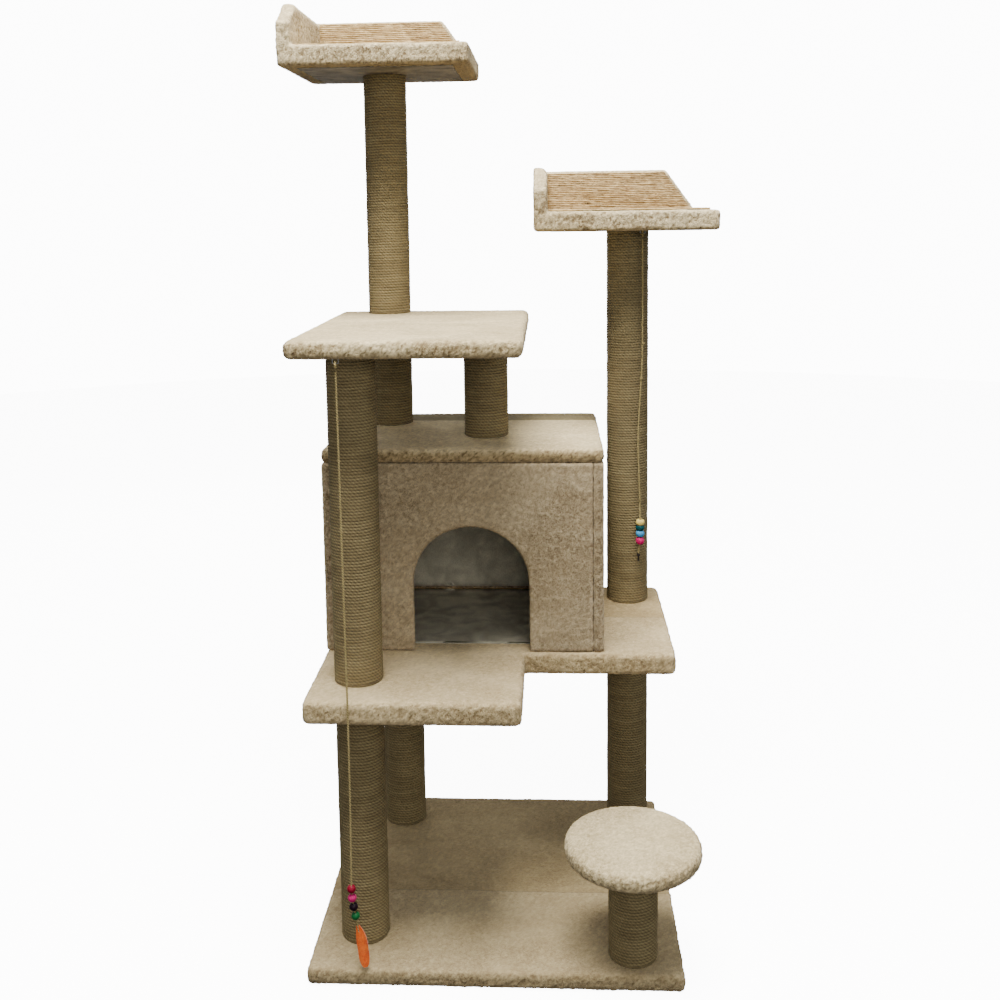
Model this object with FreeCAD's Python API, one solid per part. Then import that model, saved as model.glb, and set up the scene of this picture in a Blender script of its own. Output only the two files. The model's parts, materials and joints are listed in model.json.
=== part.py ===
"""Cat tree: carpeted boards on rope-wound posts, a house, two perches and two hanging toys.

Frame: origin at the centre of the base's underside, X to the right, Y to the rear, Z up.
Units are millimetres.
"""
import FreeCAD, Part
import math
import os

V = FreeCAD.Vector
os.makedirs("parts", exist_ok=True)

# ---- carpet and boards -------------------------------------------------------------------
CARPET = 6.0            # plush carpet, backing and pile
HEM = 30.0              # carpet turned under a perch
CORNER_R = 16.0         # plan radius of a carpeted platform's corners

# ---- base --------------------------------------------------------------------------------
BASE_W = 605.0
BASE_D = 552.0
BASE_T = 28.0

# ---- posts: cardboard tube, wooden end plugs, wound rope ----------------------------------
POST_R = 40.0
ROPE_D = 6.0
TUBE_R = POST_R - ROPE_D
TUBE_WALL = 4.0
PLUG_T = 20.0
FRONT_LEFT = (-222.0, -173.0)
FRONT_RIGHT = (223.0, -219.0)
REAR_LEFT_LOW = (-199.5, 198.0)
REAR_LEFT_HIGH = (-208.5, 198.0)
REAR_RIGHT = (243.5, 231.0)
ROOF_MIDDLE = (-20.5, 73.0)

# ---- heights -----------------------------------------------------------------------------
LOW_POST_L = 406.0
MID_Z = BASE_T + LOW_POST_L
MID_T = 39.0
MID_TOP = MID_Z + MID_T
WALL_H = 333.0
ROOF_Z = MID_TOP + WALL_H
ROOF_T = 25.0
ROOF_TOP = ROOF_Z + ROOF_T
ROOF_POST_L = 183.0
UPPER_Z = ROOF_TOP + ROOF_POST_L
UPPER_T = 29.0
UPPER_TOP = UPPER_Z + UPPER_T
TOP_POST_L = 442.0
TOP_PERCH_Z = UPPER_TOP + TOP_POST_L
RIGHT_POST_L = 721.0
RIGHT_PERCH_Z = MID_TOP + RIGHT_POST_L

# ---- middle platform, an L in plan --------------------------------------------------------
MID_LEFT = -299.0
MID_RIGHT = 308.5
MID_BACK = 299.0
MID_NOSE_FRONT = -269.0
MID_NOSE_RIGHT = 47.5
MID_SIDE_FRONT = -63.0

# ---- house -------------------------------------------------------------------------------
HOUSE_LEFT = -299.0
HOUSE_RIGHT = 185.0
HOUSE_FRONT = -56.0
HOUSE_BACK = 299.0
LINING = 3.0
WALL_BOARD = 9.0
WALL_T = CARPET + WALL_BOARD + LINING
DOOR_X = -43.5
DOOR_R = 100.5
DOOR_SPRING = 121.0

# ---- upper platform ------------------------------------------------------------------------
UPPER_LEFT = -307.5
UPPER_RIGHT = 54.5
UPPER_FRONT = -280.0
UPPER_BACK = 240.0

# ---- round stool ---------------------------------------------------------------------------
STOOL_POST_L = 168.0
STOOL_Z = BASE_T + STOOL_POST_L
STOOL_R = 110.0
STOOL_BOARD_T = 12.0
STOOL_PAD_T = 7.0
STOOL_T = 2.0 * CARPET + STOOL_BOARD_T + STOOL_PAD_T

# ---- winged perches ------------------------------------------------------------------------
PERCH_W = 332.0
PERCH_D = 300.0
PERCH_T = 36.0
WING_H = 80.0
WING_T = 24.0
SIDE_CUT = 66.0         # length and height of the cut corner of the side wing
SIDE_CUT_H = 42.0
BACK_CUT = 58.0         # the back wing's free end slopes over its full height
BACK_END = 12.0         # the back wing stops short of the seat's right edge
MAT_T = 4.0
MAT_MARGIN = 18.0
TOP_PERCH = (-372.5, 30.0)
RIGHT_PERCH = (67.5, 97.0)

# ---- fasteners -----------------------------------------------------------------------------
BOLT_R = 4.0
BOLT_REACH = 35.0
HEAD_R = 7.0
HEAD_T = 5.0
SOCKET_AF = 5.0
SOCKET_DEPTH = 3.0
WASHER_R = 10.0
WASHER_T = 1.6
SINK_R = 11.0
SINK_T = 8.0
SCREW_R = 1.75
SCREW_HEAD_R = 3.5
SCREW_HEAD_T = 2.5
SCREW_L = 38.0
WING_SCREW_L = 60.0

# ---- hanging toys ----------------------------------------------------------------------------
STRING_R = 1.5
WIRE_R = 0.75
STAPLE_W = 9.0
STAPLE_DROP = 5.6
STAPLE_BITE = 8.0
LOOP_R = 5.0
LOOP_GAP = 0.3
LOOP_SEAM = 37.0        # degrees that keep the ring's seam clear of its knot
KNOT_R = 3.2
LEFT_BEAD_R = 7.0
RIGHT_BEAD_R = 8.3
TAIL_KNOT_R = 3.6
RING_DROP = LOOP_R - STRING_R - WIRE_R - LOOP_GAP
KNOT_DROP = STAPLE_DROP + RING_DROP + LOOP_R + KNOT_R - STRING_R
STRING_DROP = KNOT_DROP + KNOT_R + LOOP_GAP
LEFT_STAPLE = (-227.0, -273.5)
RIGHT_STAPLE = (267.7, 177.0)
LEFT_ROUTE = [
    (-227.0, -273.5, UPPER_Z - STRING_DROP),
    (-224.2, -273.2, 560.0),
    (-223.6, -273.6, 330.0),
    (-225.6, -273.5, 190.0),
    (-226.0, -273.5, 166.0),
    (-225.2, -273.5, 151.0),
    (-223.2, -273.5, 136.0),
    (-220.5, -273.5, 120.5),
    (-217.6, -273.5, 104.0),
    (-216.3, -273.5, 93.5),
]
RIGHT_ROUTE = [
    (267.7, 177.0, RIGHT_PERCH_Z - STRING_DROP),
    (269.0, 176.8, 975.0),
    (264.6, 176.5, 893.0),
    (259.2, 177.0, 800.0),
    (263.6, 177.3, 700.0),
    (264.6, 177.0, 645.0),
    (264.3, 177.0, 603.0),
    (261.4, 177.0, 577.0),
]
LEFT_BEAD_Z = [166.0, 151.0, 136.0, 120.5]
RIGHT_BEADS = [(639.5, 5.0), (629.3, 5.0), (617.8, 6.3), (603.6, 7.7)]
FELT_TOP = LEFT_ROUTE[-2]       # the string runs on through the leaf's neck
FELT_L = 70.0
FELT_W = 19.0
FELT_T = 2.5
FELT_LEAN = 7.5


def save(node, shape):
    """Write one sub-part and print its volume as a check."""
    shape = shape.removeSplitter()
    if not shape.isValid():
        raise SystemExit("invalid shape: " + node)
    shape.exportStep("parts/" + node + ".step")
    print("%-24s solids %2d  volume %10.1f" % (node, len(shape.Solids), shape.Volume))


def block(x0, x1, y0, y1, z0, z1):
    return Part.makeBox(x1 - x0, y1 - y0, z1 - z0, V(x0, y0, z0))


def cylinder(place, z0, z1, radius):
    return Part.makeCylinder(radius, z1 - z0, V(place[0], place[1], z0))


def plan(points, z0, z1):
    """A prism with the given outline seen from above."""
    corners = [V(x, y, z0) for x, y in points]
    face = Part.Face(Part.makePolygon(corners + corners[:1]))
    return face.extrude(V(0, 0, z1 - z0))


def rectangle(x0, x1, y0, y1):
    return [(x0, y0), (x1, y0), (x1, y1), (x0, y1)]


def round_uprights(shape, radius):
    """Round the edges that run along Z."""
    uprights = []
    for edge in shape.Edges:
        start = edge.firstVertex().Point
        end = edge.lastVertex().Point
        if math.hypot(end.x - start.x, end.y - start.y) < 1e-6:
            uprights.append(edge)
    return shape.makeFillet(radius, uprights)


def grow(points, amount):
    """Move the sides of an anticlockwise outline of square corners outwards."""
    moved = []
    count = len(points)
    for i in range(count):
        x, y = points[i]
        shift = [0.0, 0.0]
        for a, b in ((points[i - 1], points[i]), (points[i], points[(i + 1) % count])):
            length = math.hypot(b[0] - a[0], b[1] - a[1])
            shift[0] += (b[1] - a[1]) / length * amount
            shift[1] -= (b[0] - a[0]) / length * amount
        moved.append((x + shift[0], y + shift[1]))
    return moved


def compound(shapes):
    return Part.makeCompound(shapes)


def drilled(shape, tools):
    """Cut away each tool that comes near the shape."""
    for tool in tools:
        if shape.BoundBox.intersect(tool.BoundBox):
            shape = shape.cut(tool)
    return shape


# ---- fasteners -----------------------------------------------------------------------------
def bolt(place, head_z, upwards, length):
    """Socket head bolt: its head starts at head_z and its shank points up or down."""
    sign = 1.0 if upwards else -1.0
    axis = V(0, 0, sign)
    base = V(place[0], place[1], head_z)
    head = Part.makeCylinder(HEAD_R, HEAD_T, base, axis)
    shank = Part.makeCylinder(BOLT_R, length, base + axis * HEAD_T, axis)
    radius = SOCKET_AF / math.sqrt(3.0)
    corners = []
    for i in range(7):
        angle = math.radians(60.0 * i)
        corners.append(base + V(radius * math.cos(angle), radius * math.sin(angle), 0))
    socket = Part.Face(Part.makePolygon(corners)).extrude(axis * SOCKET_DEPTH)
    return head.fuse(shank).cut(socket)


def washer(place, head_z, upwards):
    """Washer under the head of the bolt above."""
    sign = 1.0 if upwards else -1.0
    seat = V(place[0], place[1], head_z + sign * HEAD_T)
    disc = Part.makeCylinder(WASHER_R, WASHER_T, seat, V(0, 0, sign))
    hole = Part.makeCylinder(BOLT_R, WASHER_T, seat, V(0, 0, sign))
    return disc.cut(hole)


def counterbore(place, face_z, upwards):
    """The pocket in a board that hides a bolt's head and washer."""
    sign = 1.0 if upwards else -1.0
    start = V(place[0], place[1], face_z)
    return Part.makeCylinder(SINK_R, SINK_T, start, V(0, 0, sign))


def fasten(place, face_z, upwards, joint_z):
    """Bolt, washer and pocket from a board's face_z through to a post that starts at joint_z."""
    sign = 1.0 if upwards else -1.0
    head_z = face_z + sign * (SINK_T - WASHER_T - HEAD_T)
    length = abs(joint_z - head_z) - HEAD_T + BOLT_REACH
    pocket = counterbore(place, face_z, upwards)
    return bolt(place, head_z, upwards, length), washer(place, head_z, upwards), pocket


def screw(head, direction, length=SCREW_L):
    """Countersunk wood screw from its head's face."""
    direction = V(*direction)
    cone = Part.makeCone(SCREW_HEAD_R, SCREW_R, SCREW_HEAD_T, V(*head), direction)
    neck = V(*head) + direction * SCREW_HEAD_T
    shank = Part.makeCylinder(SCREW_R, length - SCREW_HEAD_T, neck, direction)
    return cone.fuse(shank)


MID_BOARD_Z = MID_Z + CARPET
MID_BOARD_TOP = MID_TOP - CARPET
UPPER_BOARD_TOP = UPPER_TOP - CARPET
ROOF_BOARD_Z = ROOF_Z + CARPET
PERCH_BOARD_TOP = PERCH_T - CARPET
STOOL_BOARD_TOP = STOOL_Z + CARPET + STOOL_BOARD_T

base_sets = [fasten(place, 0.0, True, BASE_T)
             for place in (FRONT_LEFT, REAR_LEFT_LOW, REAR_RIGHT, FRONT_RIGHT)]
platform_sets = [
    fasten(REAR_LEFT_LOW, MID_BOARD_TOP, False, MID_Z),
    fasten(FRONT_LEFT, UPPER_BOARD_TOP, False, UPPER_Z),
    fasten(ROOF_MIDDLE, UPPER_BOARD_TOP, False, UPPER_Z),
    fasten(ROOF_MIDDLE, ROOF_BOARD_Z, True, ROOF_TOP),
    fasten(REAR_LEFT_HIGH, ROOF_BOARD_Z, True, ROOF_TOP),
    fasten(REAR_LEFT_HIGH, TOP_PERCH_Z + PERCH_BOARD_TOP, False, TOP_PERCH_Z),
    fasten(REAR_RIGHT, RIGHT_PERCH_Z + PERCH_BOARD_TOP, False, RIGHT_PERCH_Z),
    fasten(FRONT_RIGHT, STOOL_BOARD_TOP, False, STOOL_Z),
]
studs = [
    cylinder(FRONT_LEFT, MID_Z - BOLT_REACH, MID_TOP + BOLT_REACH, BOLT_R),
    cylinder(REAR_RIGHT, MID_Z - BOLT_REACH, MID_TOP + BOLT_REACH, BOLT_R),
    cylinder(REAR_LEFT_HIGH, UPPER_Z - BOLT_REACH, UPPER_TOP + BOLT_REACH, BOLT_R),
]
shanks = [piece[0] for piece in base_sets + platform_sets] + studs
pockets = [piece[2] for piece in base_sets + platform_sets]
bores = pockets + shanks


def make_fasteners():
    save("base_bolts", compound([piece[0] for piece in base_sets]))
    save("base_washers", compound([piece[1] for piece in base_sets]))
    save("platform_bolts", compound([piece[0] for piece in platform_sets]))
    save("platform_washers", compound([piece[1] for piece in platform_sets]))
    save("post_studs", compound(studs))


# ---- posts -----------------------------------------------------------------------------------
POSTS = {
    "front_left_low": (FRONT_LEFT, BASE_T, MID_Z),
    "rear_left_low": (REAR_LEFT_LOW, BASE_T, MID_Z),
    "rear_right_low": (REAR_RIGHT, BASE_T, MID_Z),
    "stool": (FRONT_RIGHT, BASE_T, STOOL_Z),
    "front_left_high": (FRONT_LEFT, MID_TOP, UPPER_Z),
    "rear_right_high": (REAR_RIGHT, MID_TOP, RIGHT_PERCH_Z),
    "roof_middle": (ROOF_MIDDLE, ROOF_TOP, UPPER_Z),
    "roof_rear": (REAR_LEFT_HIGH, ROOF_TOP, UPPER_Z),
    "top": (REAR_LEFT_HIGH, UPPER_TOP, TOP_PERCH_Z),
}


def make_posts():
    """Nine posts of one diameter: a rope sleeve, a tube and a plug in each end."""
    tubes = []
    plugs = []
    for name, (place, low, high) in POSTS.items():
        sleeve = cylinder(place, low, high, POST_R).cut(cylinder(place, low, high, TUBE_R))
        save(name + "_rope", sleeve)
        inner = TUBE_R - TUBE_WALL
        tubes.append(cylinder(place, low, high, TUBE_R).cut(cylinder(place, low, high, inner)))
        for start in (low, high - PLUG_T):
            plugs.append(drilled(cylinder(place, start, start + PLUG_T, inner), shanks))
    save("post_tubes", compound(tubes))
    save("post_end_plugs", compound(plugs))


# ---- carpeted boards --------------------------------------------------------------------------
def carpeted(name, outline, z0, z1, under=CARPET, tools=()):
    """A board and the carpet that wraps it: under is the carpet's thickness below the board."""
    board_outline = grow(outline, -CARPET)
    board = plan(board_outline, z0 + under, z1 - CARPET)
    board = round_uprights(board, CORNER_R - CARPET)
    carpet = round_uprights(plan(outline, z0, z1), CORNER_R).cut(board)
    save(name + "_board", drilled(board, bores + list(tools)))
    save(name + "_carpet", drilled(carpet, shanks + list(tools)))


def make_platforms(tools):
    half_w = BASE_W / 2.0
    half_d = BASE_D / 2.0
    carpeted("base", rectangle(-half_w, half_w, -half_d, half_d), 0.0, BASE_T, 0.0)
    outline = [
        (MID_LEFT, MID_NOSE_FRONT),
        (MID_NOSE_RIGHT, MID_NOSE_FRONT),
        (MID_NOSE_RIGHT, MID_SIDE_FRONT),
        (MID_RIGHT, MID_SIDE_FRONT),
        (MID_RIGHT, MID_BACK),
        (MID_LEFT, MID_BACK),
    ]
    carpeted("middle_platform", outline, MID_Z, MID_TOP)
    outline = rectangle(UPPER_LEFT, UPPER_RIGHT, UPPER_FRONT, UPPER_BACK)
    carpeted("upper_platform", outline, UPPER_Z, UPPER_TOP, CARPET, tools)


def make_stool():
    """Round seat: board, foam and a carpet cover with a soft rim."""
    low = STOOL_Z + CARPET
    inner_r = STOOL_R - CARPET
    board = cylinder(FRONT_RIGHT, low, STOOL_BOARD_TOP, inner_r)
    pad = cylinder(FRONT_RIGHT, STOOL_BOARD_TOP, STOOL_BOARD_TOP + STOOL_PAD_T, inner_r)
    cover = cylinder(FRONT_RIGHT, STOOL_Z, STOOL_Z + STOOL_T, STOOL_R)
    rims = [edge for edge in cover.Edges if edge.Length > STOOL_R and edge.isClosed()]
    cover = cover.makeFillet(CARPET - 1.0, rims)
    cover = cover.cut(cylinder(FRONT_RIGHT, low, STOOL_BOARD_TOP + STOOL_PAD_T, inner_r))
    save("stool_board", drilled(board, bores))
    save("stool_pad", pad)
    save("stool_carpet", drilled(cover, shanks))


# ---- house -----------------------------------------------------------------------------------
def arch(radius, y0, y1):
    """The doorway: straight sides up to the spring line and a half circle above."""
    spring = MID_TOP + DOOR_SPRING
    low = MID_TOP - 1.0
    sides = block(DOOR_X - radius, DOOR_X + radius, y0, y1, low, spring)
    crown = Part.makeCylinder(radius, y1 - y0, V(DOOR_X, y0, spring), V(0, 1, 0))
    return sides.fuse(crown)


def wall(x0, x1, y0, y1, out):
    """A wall's board and carpet: out is the side that faces outwards.

    The carpet is thick outside and thin inside, wraps the two upright edges and the top,
    and is open below, where the wall stands on the platform.
    """
    gaps = {"left": LINING, "right": LINING, "front": LINING, "back": LINING}
    gaps[out] = CARPET
    board = block(x0 + gaps["left"], x1 - gaps["right"], y0 + gaps["front"], y1 - gaps["back"],
                  MID_TOP, ROOF_Z - LINING)
    carpet = block(x0, x1, y0, y1, MID_TOP, ROOF_Z).cut(board)
    return board, carpet


def house_screws():
    """Screws from the side walls into the front and back walls, and from the roof down."""
    screws = []
    for x, sign in ((HOUSE_LEFT + CARPET, 1.0), (HOUSE_RIGHT - CARPET, -1.0)):
        for y in (HOUSE_FRONT + CARPET + WALL_BOARD / 2, HOUSE_BACK - CARPET - WALL_BOARD / 2):
            for share in (0.15, 0.5, 0.85):
                screws.append(screw((x, y, MID_TOP + share * WALL_H), (sign, 0, 0)))
    for x in (HOUSE_LEFT + CARPET + WALL_BOARD / 2, HOUSE_RIGHT - CARPET - WALL_BOARD / 2):
        for share in (0.25, 0.75):
            y = HOUSE_FRONT + share * (HOUSE_BACK - HOUSE_FRONT)
            screws.append(screw((x, y, ROOF_TOP - CARPET), (0, 0, -1)))
    return screws


def make_house():
    screws = house_screws()
    tools = shanks + screws
    left = HOUSE_LEFT + WALL_T
    right = HOUSE_RIGHT - WALL_T
    walls = {
        "house_left": wall(HOUSE_LEFT, left, HOUSE_FRONT, HOUSE_BACK, "left"),
        "house_right": wall(right, HOUSE_RIGHT, HOUSE_FRONT, HOUSE_BACK, "right"),
        "house_back": wall(left, right, HOUSE_BACK - WALL_T, HOUSE_BACK, "back"),
    }
    board, carpet = wall(left, right, HOUSE_FRONT, HOUSE_FRONT + WALL_T, "front")
    reach = (HOUSE_FRONT - 1.0, HOUSE_FRONT + WALL_T + 1.0)
    big_arch = arch(DOOR_R + CARPET, *reach)
    board = board.cut(big_arch)
    carpet = carpet.fuse(big_arch.common(block(left, right, HOUSE_FRONT, HOUSE_FRONT + WALL_T,
                                               MID_TOP, ROOF_Z)))
    carpet = carpet.cut(arch(DOOR_R, *reach))
    walls["house_front"] = (board, carpet)
    for name, (board, carpet) in walls.items():
        save(name + "_board", drilled(board, tools))
        save(name + "_carpet", drilled(carpet, tools))
    outline = rectangle(HOUSE_LEFT, HOUSE_RIGHT, HOUSE_FRONT, HOUSE_BACK)
    board = plan(grow(outline, -CARPET), ROOF_BOARD_Z, ROOF_TOP - CARPET)
    carpet = plan(outline, ROOF_Z, ROOF_TOP).cut(board)
    save("house_roof_board", drilled(board, bores + screws))
    save("house_roof_carpet", drilled(carpet, bores + screws))
    save("house_screws", compound(screws))


# ---- perches ---------------------------------------------------------------------------------
def wing(points, normal_axis, start, thickness):
    """A wing cut from board: points are (distance along it, height) on its face."""
    corners = []
    for along, height in points:
        corner = V(start, along, height) if normal_axis == "x" else V(along, start, height)
        corners.append(corner)
    push = V(thickness, 0, 0) if normal_axis == "x" else V(0, thickness, 0)
    return Part.Face(Part.makePolygon(corners + corners[:1])).extrude(push)


def side_profile(y0, y1, z0, z1, inset):
    """Outline of the side wing, (y, z): its front top corner is cut off."""
    top = z1 - inset
    low = z1 - SIDE_CUT_H - inset * (math.hypot(SIDE_CUT, SIDE_CUT_H) - SIDE_CUT_H) / SIDE_CUT
    slide = inset * (math.hypot(SIDE_CUT, SIDE_CUT_H) - SIDE_CUT) / SIDE_CUT_H
    return [
        (y1 - inset, z0),
        (y0 + inset, z0),
        (y0 + inset, low),
        (y0 + SIDE_CUT + slide, top),
        (y1 - inset, top),
    ]


def back_profile(x0, x1, z0, z1, inset, foot=0.0):
    """Outline of the back wing, (x, z): its right end slopes down to z0 + foot."""
    rise = z1 - z0 - inset
    end = x1 - inset * math.hypot(BACK_CUT, WING_H) / WING_H
    lean = BACK_CUT / WING_H
    return [
        (x0 + inset, z0),
        (end + foot * lean, z0),
        (end + foot * lean - rise * lean, z0 + rise),
        (x0 + inset, z0 + rise),
    ]


def perch(name, corner, z0, tools=()):
    """A seat with a raised wing on its left and one at its back, carpet, mat and lining."""
    x0, y0 = corner
    x1 = x0 + PERCH_W
    y1 = y0 + PERCH_D
    seat_top = z0 + PERCH_T
    wing_top = seat_top + WING_H
    outline = rectangle(x0, x1, y0, y1)
    board = plan(grow(outline, -CARPET), z0 + CARPET, seat_top - CARPET)
    board = round_uprights(board, CORNER_R - CARPET)
    board_top = seat_top - CARPET
    free_end = x1 - BACK_END
    side = wing(side_profile(y0, y1, board_top, wing_top, CARPET), "x",
                x0 + CARPET, WING_T - 2.0 * CARPET)
    side_cover = wing(side_profile(y0, y1, seat_top, wing_top, 0.0), "x", x0, WING_T)
    back = wing(back_profile(x0 + WING_T - 2.0 * CARPET, free_end, board_top, wing_top, CARPET,
                             CARPET),
                "y", y1 - WING_T + CARPET, WING_T - 2.0 * CARPET)
    back_cover = wing(back_profile(x0, free_end, seat_top, wing_top, 0.0), "y",
                      y1 - WING_T, WING_T)
    lining = plan(grow(outline, -HEM), z0, z0 + CARPET)
    carpet = round_uprights(plan(outline, z0, seat_top), CORNER_R)
    carpet = carpet.fuse(side_cover).fuse(back_cover)
    for hidden in (board, side, back, lining):
        carpet = carpet.cut(hidden)
    mat_x0 = x0 + WING_T
    mat_y1 = y1 - WING_T
    seat_mat = block(mat_x0, x1 - MAT_MARGIN, y0 + MAT_MARGIN, mat_y1, seat_top, seat_top + MAT_T)
    face = back_profile(mat_x0, free_end - MAT_T, seat_top, wing_top - MAT_T, 0.0)
    back_mat = wing(face, "y", mat_y1 - MAT_T, MAT_T)
    save(name + "_board", drilled(board, bores + list(tools)))
    save(name + "_side_wing", drilled(side, tools))
    save(name + "_back_wing", drilled(back, tools))
    save(name + "_carpet", drilled(carpet, shanks + list(tools)))
    save(name + "_mat", seat_mat.fuse(back_mat))
    save(name + "_lining", drilled(lining, shanks + list(tools)))


def perch_screws(corner, z0):
    """Two screws up through the seat board into each wing."""
    x0, y0 = corner
    screws = []
    head = z0 + CARPET
    for share in (0.35, 0.75):
        place = (x0 + WING_T / 2.0, y0 + share * PERCH_D, head)
        screws.append(screw(place, (0, 0, 1), WING_SCREW_L))
    for share in (0.3, 0.65):
        place = (x0 + share * PERCH_W, y0 + PERCH_D - WING_T / 2.0, head)
        screws.append(screw(place, (0, 0, 1), WING_SCREW_L))
    return screws


# ---- hanging toys --------------------------------------------------------------------------------
def staple(place, under):
    """Wire staple driven up into a board, with its crown along X below the surface."""
    x, y = place
    crown_z = under - STAPLE_DROP
    half = STAPLE_W / 2.0
    wire = Part.makeCylinder(WIRE_R, STAPLE_W, V(x - half, y, crown_z), V(1, 0, 0))
    for side in (x - half, x + half):
        leg = Part.makeCylinder(WIRE_R, STAPLE_DROP + CARPET + STAPLE_BITE, V(side, y, crown_z))
        wire = wire.fuse(leg).fuse(Part.makeSphere(WIRE_R, V(side, y, crown_z)))
    return wire


def loop(place, under):
    """String ring round the staple's crown and the knot below it, made at the origin."""
    ring = Part.makeTorus(LOOP_R, STRING_R, V(0, 0, 0), V(1, 0, 0))
    ring.rotate(V(0, 0, 0), V(1, 0, 0), LOOP_SEAM)
    knot = Part.makeSphere(KNOT_R, V(0, 0, -LOOP_R - KNOT_R + STRING_R))
    joined = ring.fuse(knot)
    joined.translate(V(place[0], place[1], under - STAPLE_DROP - RING_DROP))
    return joined


def tangent_path(route):
    """Straight runs joined by tangent arcs, each as large as its two runs allow."""
    points = [V(*point) for point in route]
    edges = []
    start = points[0]
    for i in range(1, len(points) - 1):
        here = points[i]
        to_last = points[i - 1] - here
        to_next = points[i + 1] - here
        run = min(to_last.Length, to_next.Length)
        turn = math.pi - to_last.getAngle(to_next)
        radius = 0.45 * run / math.tan(turn / 2.0)
        print("  arc at", route[i], "radius", round(radius, 1))
        to_last.normalize()
        to_next.normalize()
        enter = here + to_last * (0.45 * run)
        leave = here + to_next * (0.45 * run)
        middle_way = to_last + to_next
        middle_way.normalize()
        middle = here + middle_way * (radius / math.cos(turn / 2.0) - radius)
        edges.append(Part.LineSegment(start, enter).toShape())
        edges.append(Part.Arc(enter, middle, leave).toShape())
        start = leave
    edges.append(Part.LineSegment(start, points[-1]).toShape())
    return Part.Wire(edges)


def string_tube(route):
    path = tangent_path(route)
    way = V(*route[1]) - V(*route[0])
    profile = Part.Wire(Part.makeCircle(STRING_R, V(*route[0]), way))
    tube = path.makePipeShell([profile], True, False)
    expected = math.pi * STRING_R ** 2 * path.Length
    print("  string length %.1f, volume ratio %.4f" % (path.Length, tube.Volume / expected))
    return tube


def bead(x, y, z, radius, half_height):
    """A turned bead, a ball with its poles cut flat."""
    ball = Part.makeSphere(radius, V(x, y, z))
    slab = block(x - radius, x + radius, y - radius, y + radius, z - half_height, z + half_height)
    return ball.common(slab)


def route_x(route, z):
    """X on the route at a height."""
    for (xa, _, za), (xb, _, zb) in zip(route, route[1:]):
        if zb <= z <= za:
            return xa + (xb - xa) * (za - z) / (za - zb)
    raise SystemExit("no point of the route at that height")


def felt_strip(top):
    """A leaf of felt hanging from the string's end, leaning to the right."""
    half = FELT_W / 2.0
    outline = [(-2.5, 0.0), (2.5, 0.0), (half, -22.0), (half - 1.5, -FELT_L + 8.0),
               (2.0, -FELT_L), (-half + 2.0, -FELT_L + 5.0), (-half, -24.0)]
    corners = [V(x, 0, z) for x, z in outline]
    leaf = Part.Face(Part.makePolygon(corners + corners[:1])).extrude(V(0, FELT_T, 0))
    leaf.translate(V(0, -FELT_T / 2.0, 0))
    leaf.rotate(V(0, 0, 0), V(0, 1, 0), -FELT_LEAN)
    leaf.translate(V(*top))
    return leaf


def make_left_toy(hook):
    tube = string_tube(LEFT_ROUTE)
    beads = []
    for z in LEFT_BEAD_Z:
        body = bead(route_x(LEFT_ROUTE, z), LEFT_ROUTE[-1][1], z, LEFT_BEAD_R, LEFT_BEAD_R - 0.4)
        beads.append(body.cut(tube))
    save("left_toy_staple", hook)
    save("left_toy_loop", loop(LEFT_STAPLE, UPPER_Z))
    save("left_toy_string", tube)
    save("left_toy_beads", compound(beads))
    save("left_toy_felt", felt_strip(FELT_TOP).cut(tube))


def make_right_toy(hook):
    tube = string_tube(RIGHT_ROUTE)
    beads = []
    for z, half_height in RIGHT_BEADS:
        body = bead(route_x(RIGHT_ROUTE, z), RIGHT_ROUTE[-1][1], z, RIGHT_BEAD_R,
                    half_height - 0.3)
        beads.append(body.cut(tube))
    end = RIGHT_ROUTE[-1]
    knot = Part.makeSphere(TAIL_KNOT_R, V(end[0], end[1], end[2] - 2.0))
    tail = Part.makeCone(1.2, 2.6, 11.0, V(end[0] - 0.4, end[1], end[2] - 4.0), V(0.05, 0, -1))
    save("right_toy_staple", hook)
    save("right_toy_loop", loop(RIGHT_STAPLE, RIGHT_PERCH_Z))
    save("right_toy_string", tube)
    save("right_toy_beads", compound(beads))
    save("right_toy_end_knot", knot.fuse(tail).cut(tube))


def main():
    left_hook = staple(LEFT_STAPLE, UPPER_Z)
    right_hook = staple(RIGHT_STAPLE, RIGHT_PERCH_Z)
    make_fasteners()
    make_posts()
    make_platforms([left_hook])
    make_stool()
    make_house()
    screws_top = perch_screws(TOP_PERCH, TOP_PERCH_Z)
    screws_right = perch_screws(RIGHT_PERCH, RIGHT_PERCH_Z)
    perch("top_perch", TOP_PERCH, TOP_PERCH_Z, screws_top)
    perch("right_perch", RIGHT_PERCH, RIGHT_PERCH_Z, screws_right + [right_hook])
    save("perch_screws", compound(screws_top + screws_right))
    make_left_toy(left_hook)
    make_right_toy(right_hook)


main()
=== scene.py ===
"""Looks of the cat tree: plush carpet, wound jute, woven mats and two bead toys. Metres, Z up."""
import json
import math

import bmesh
import bpy
import numpy as np
from mathutils import Matrix, Vector


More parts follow.
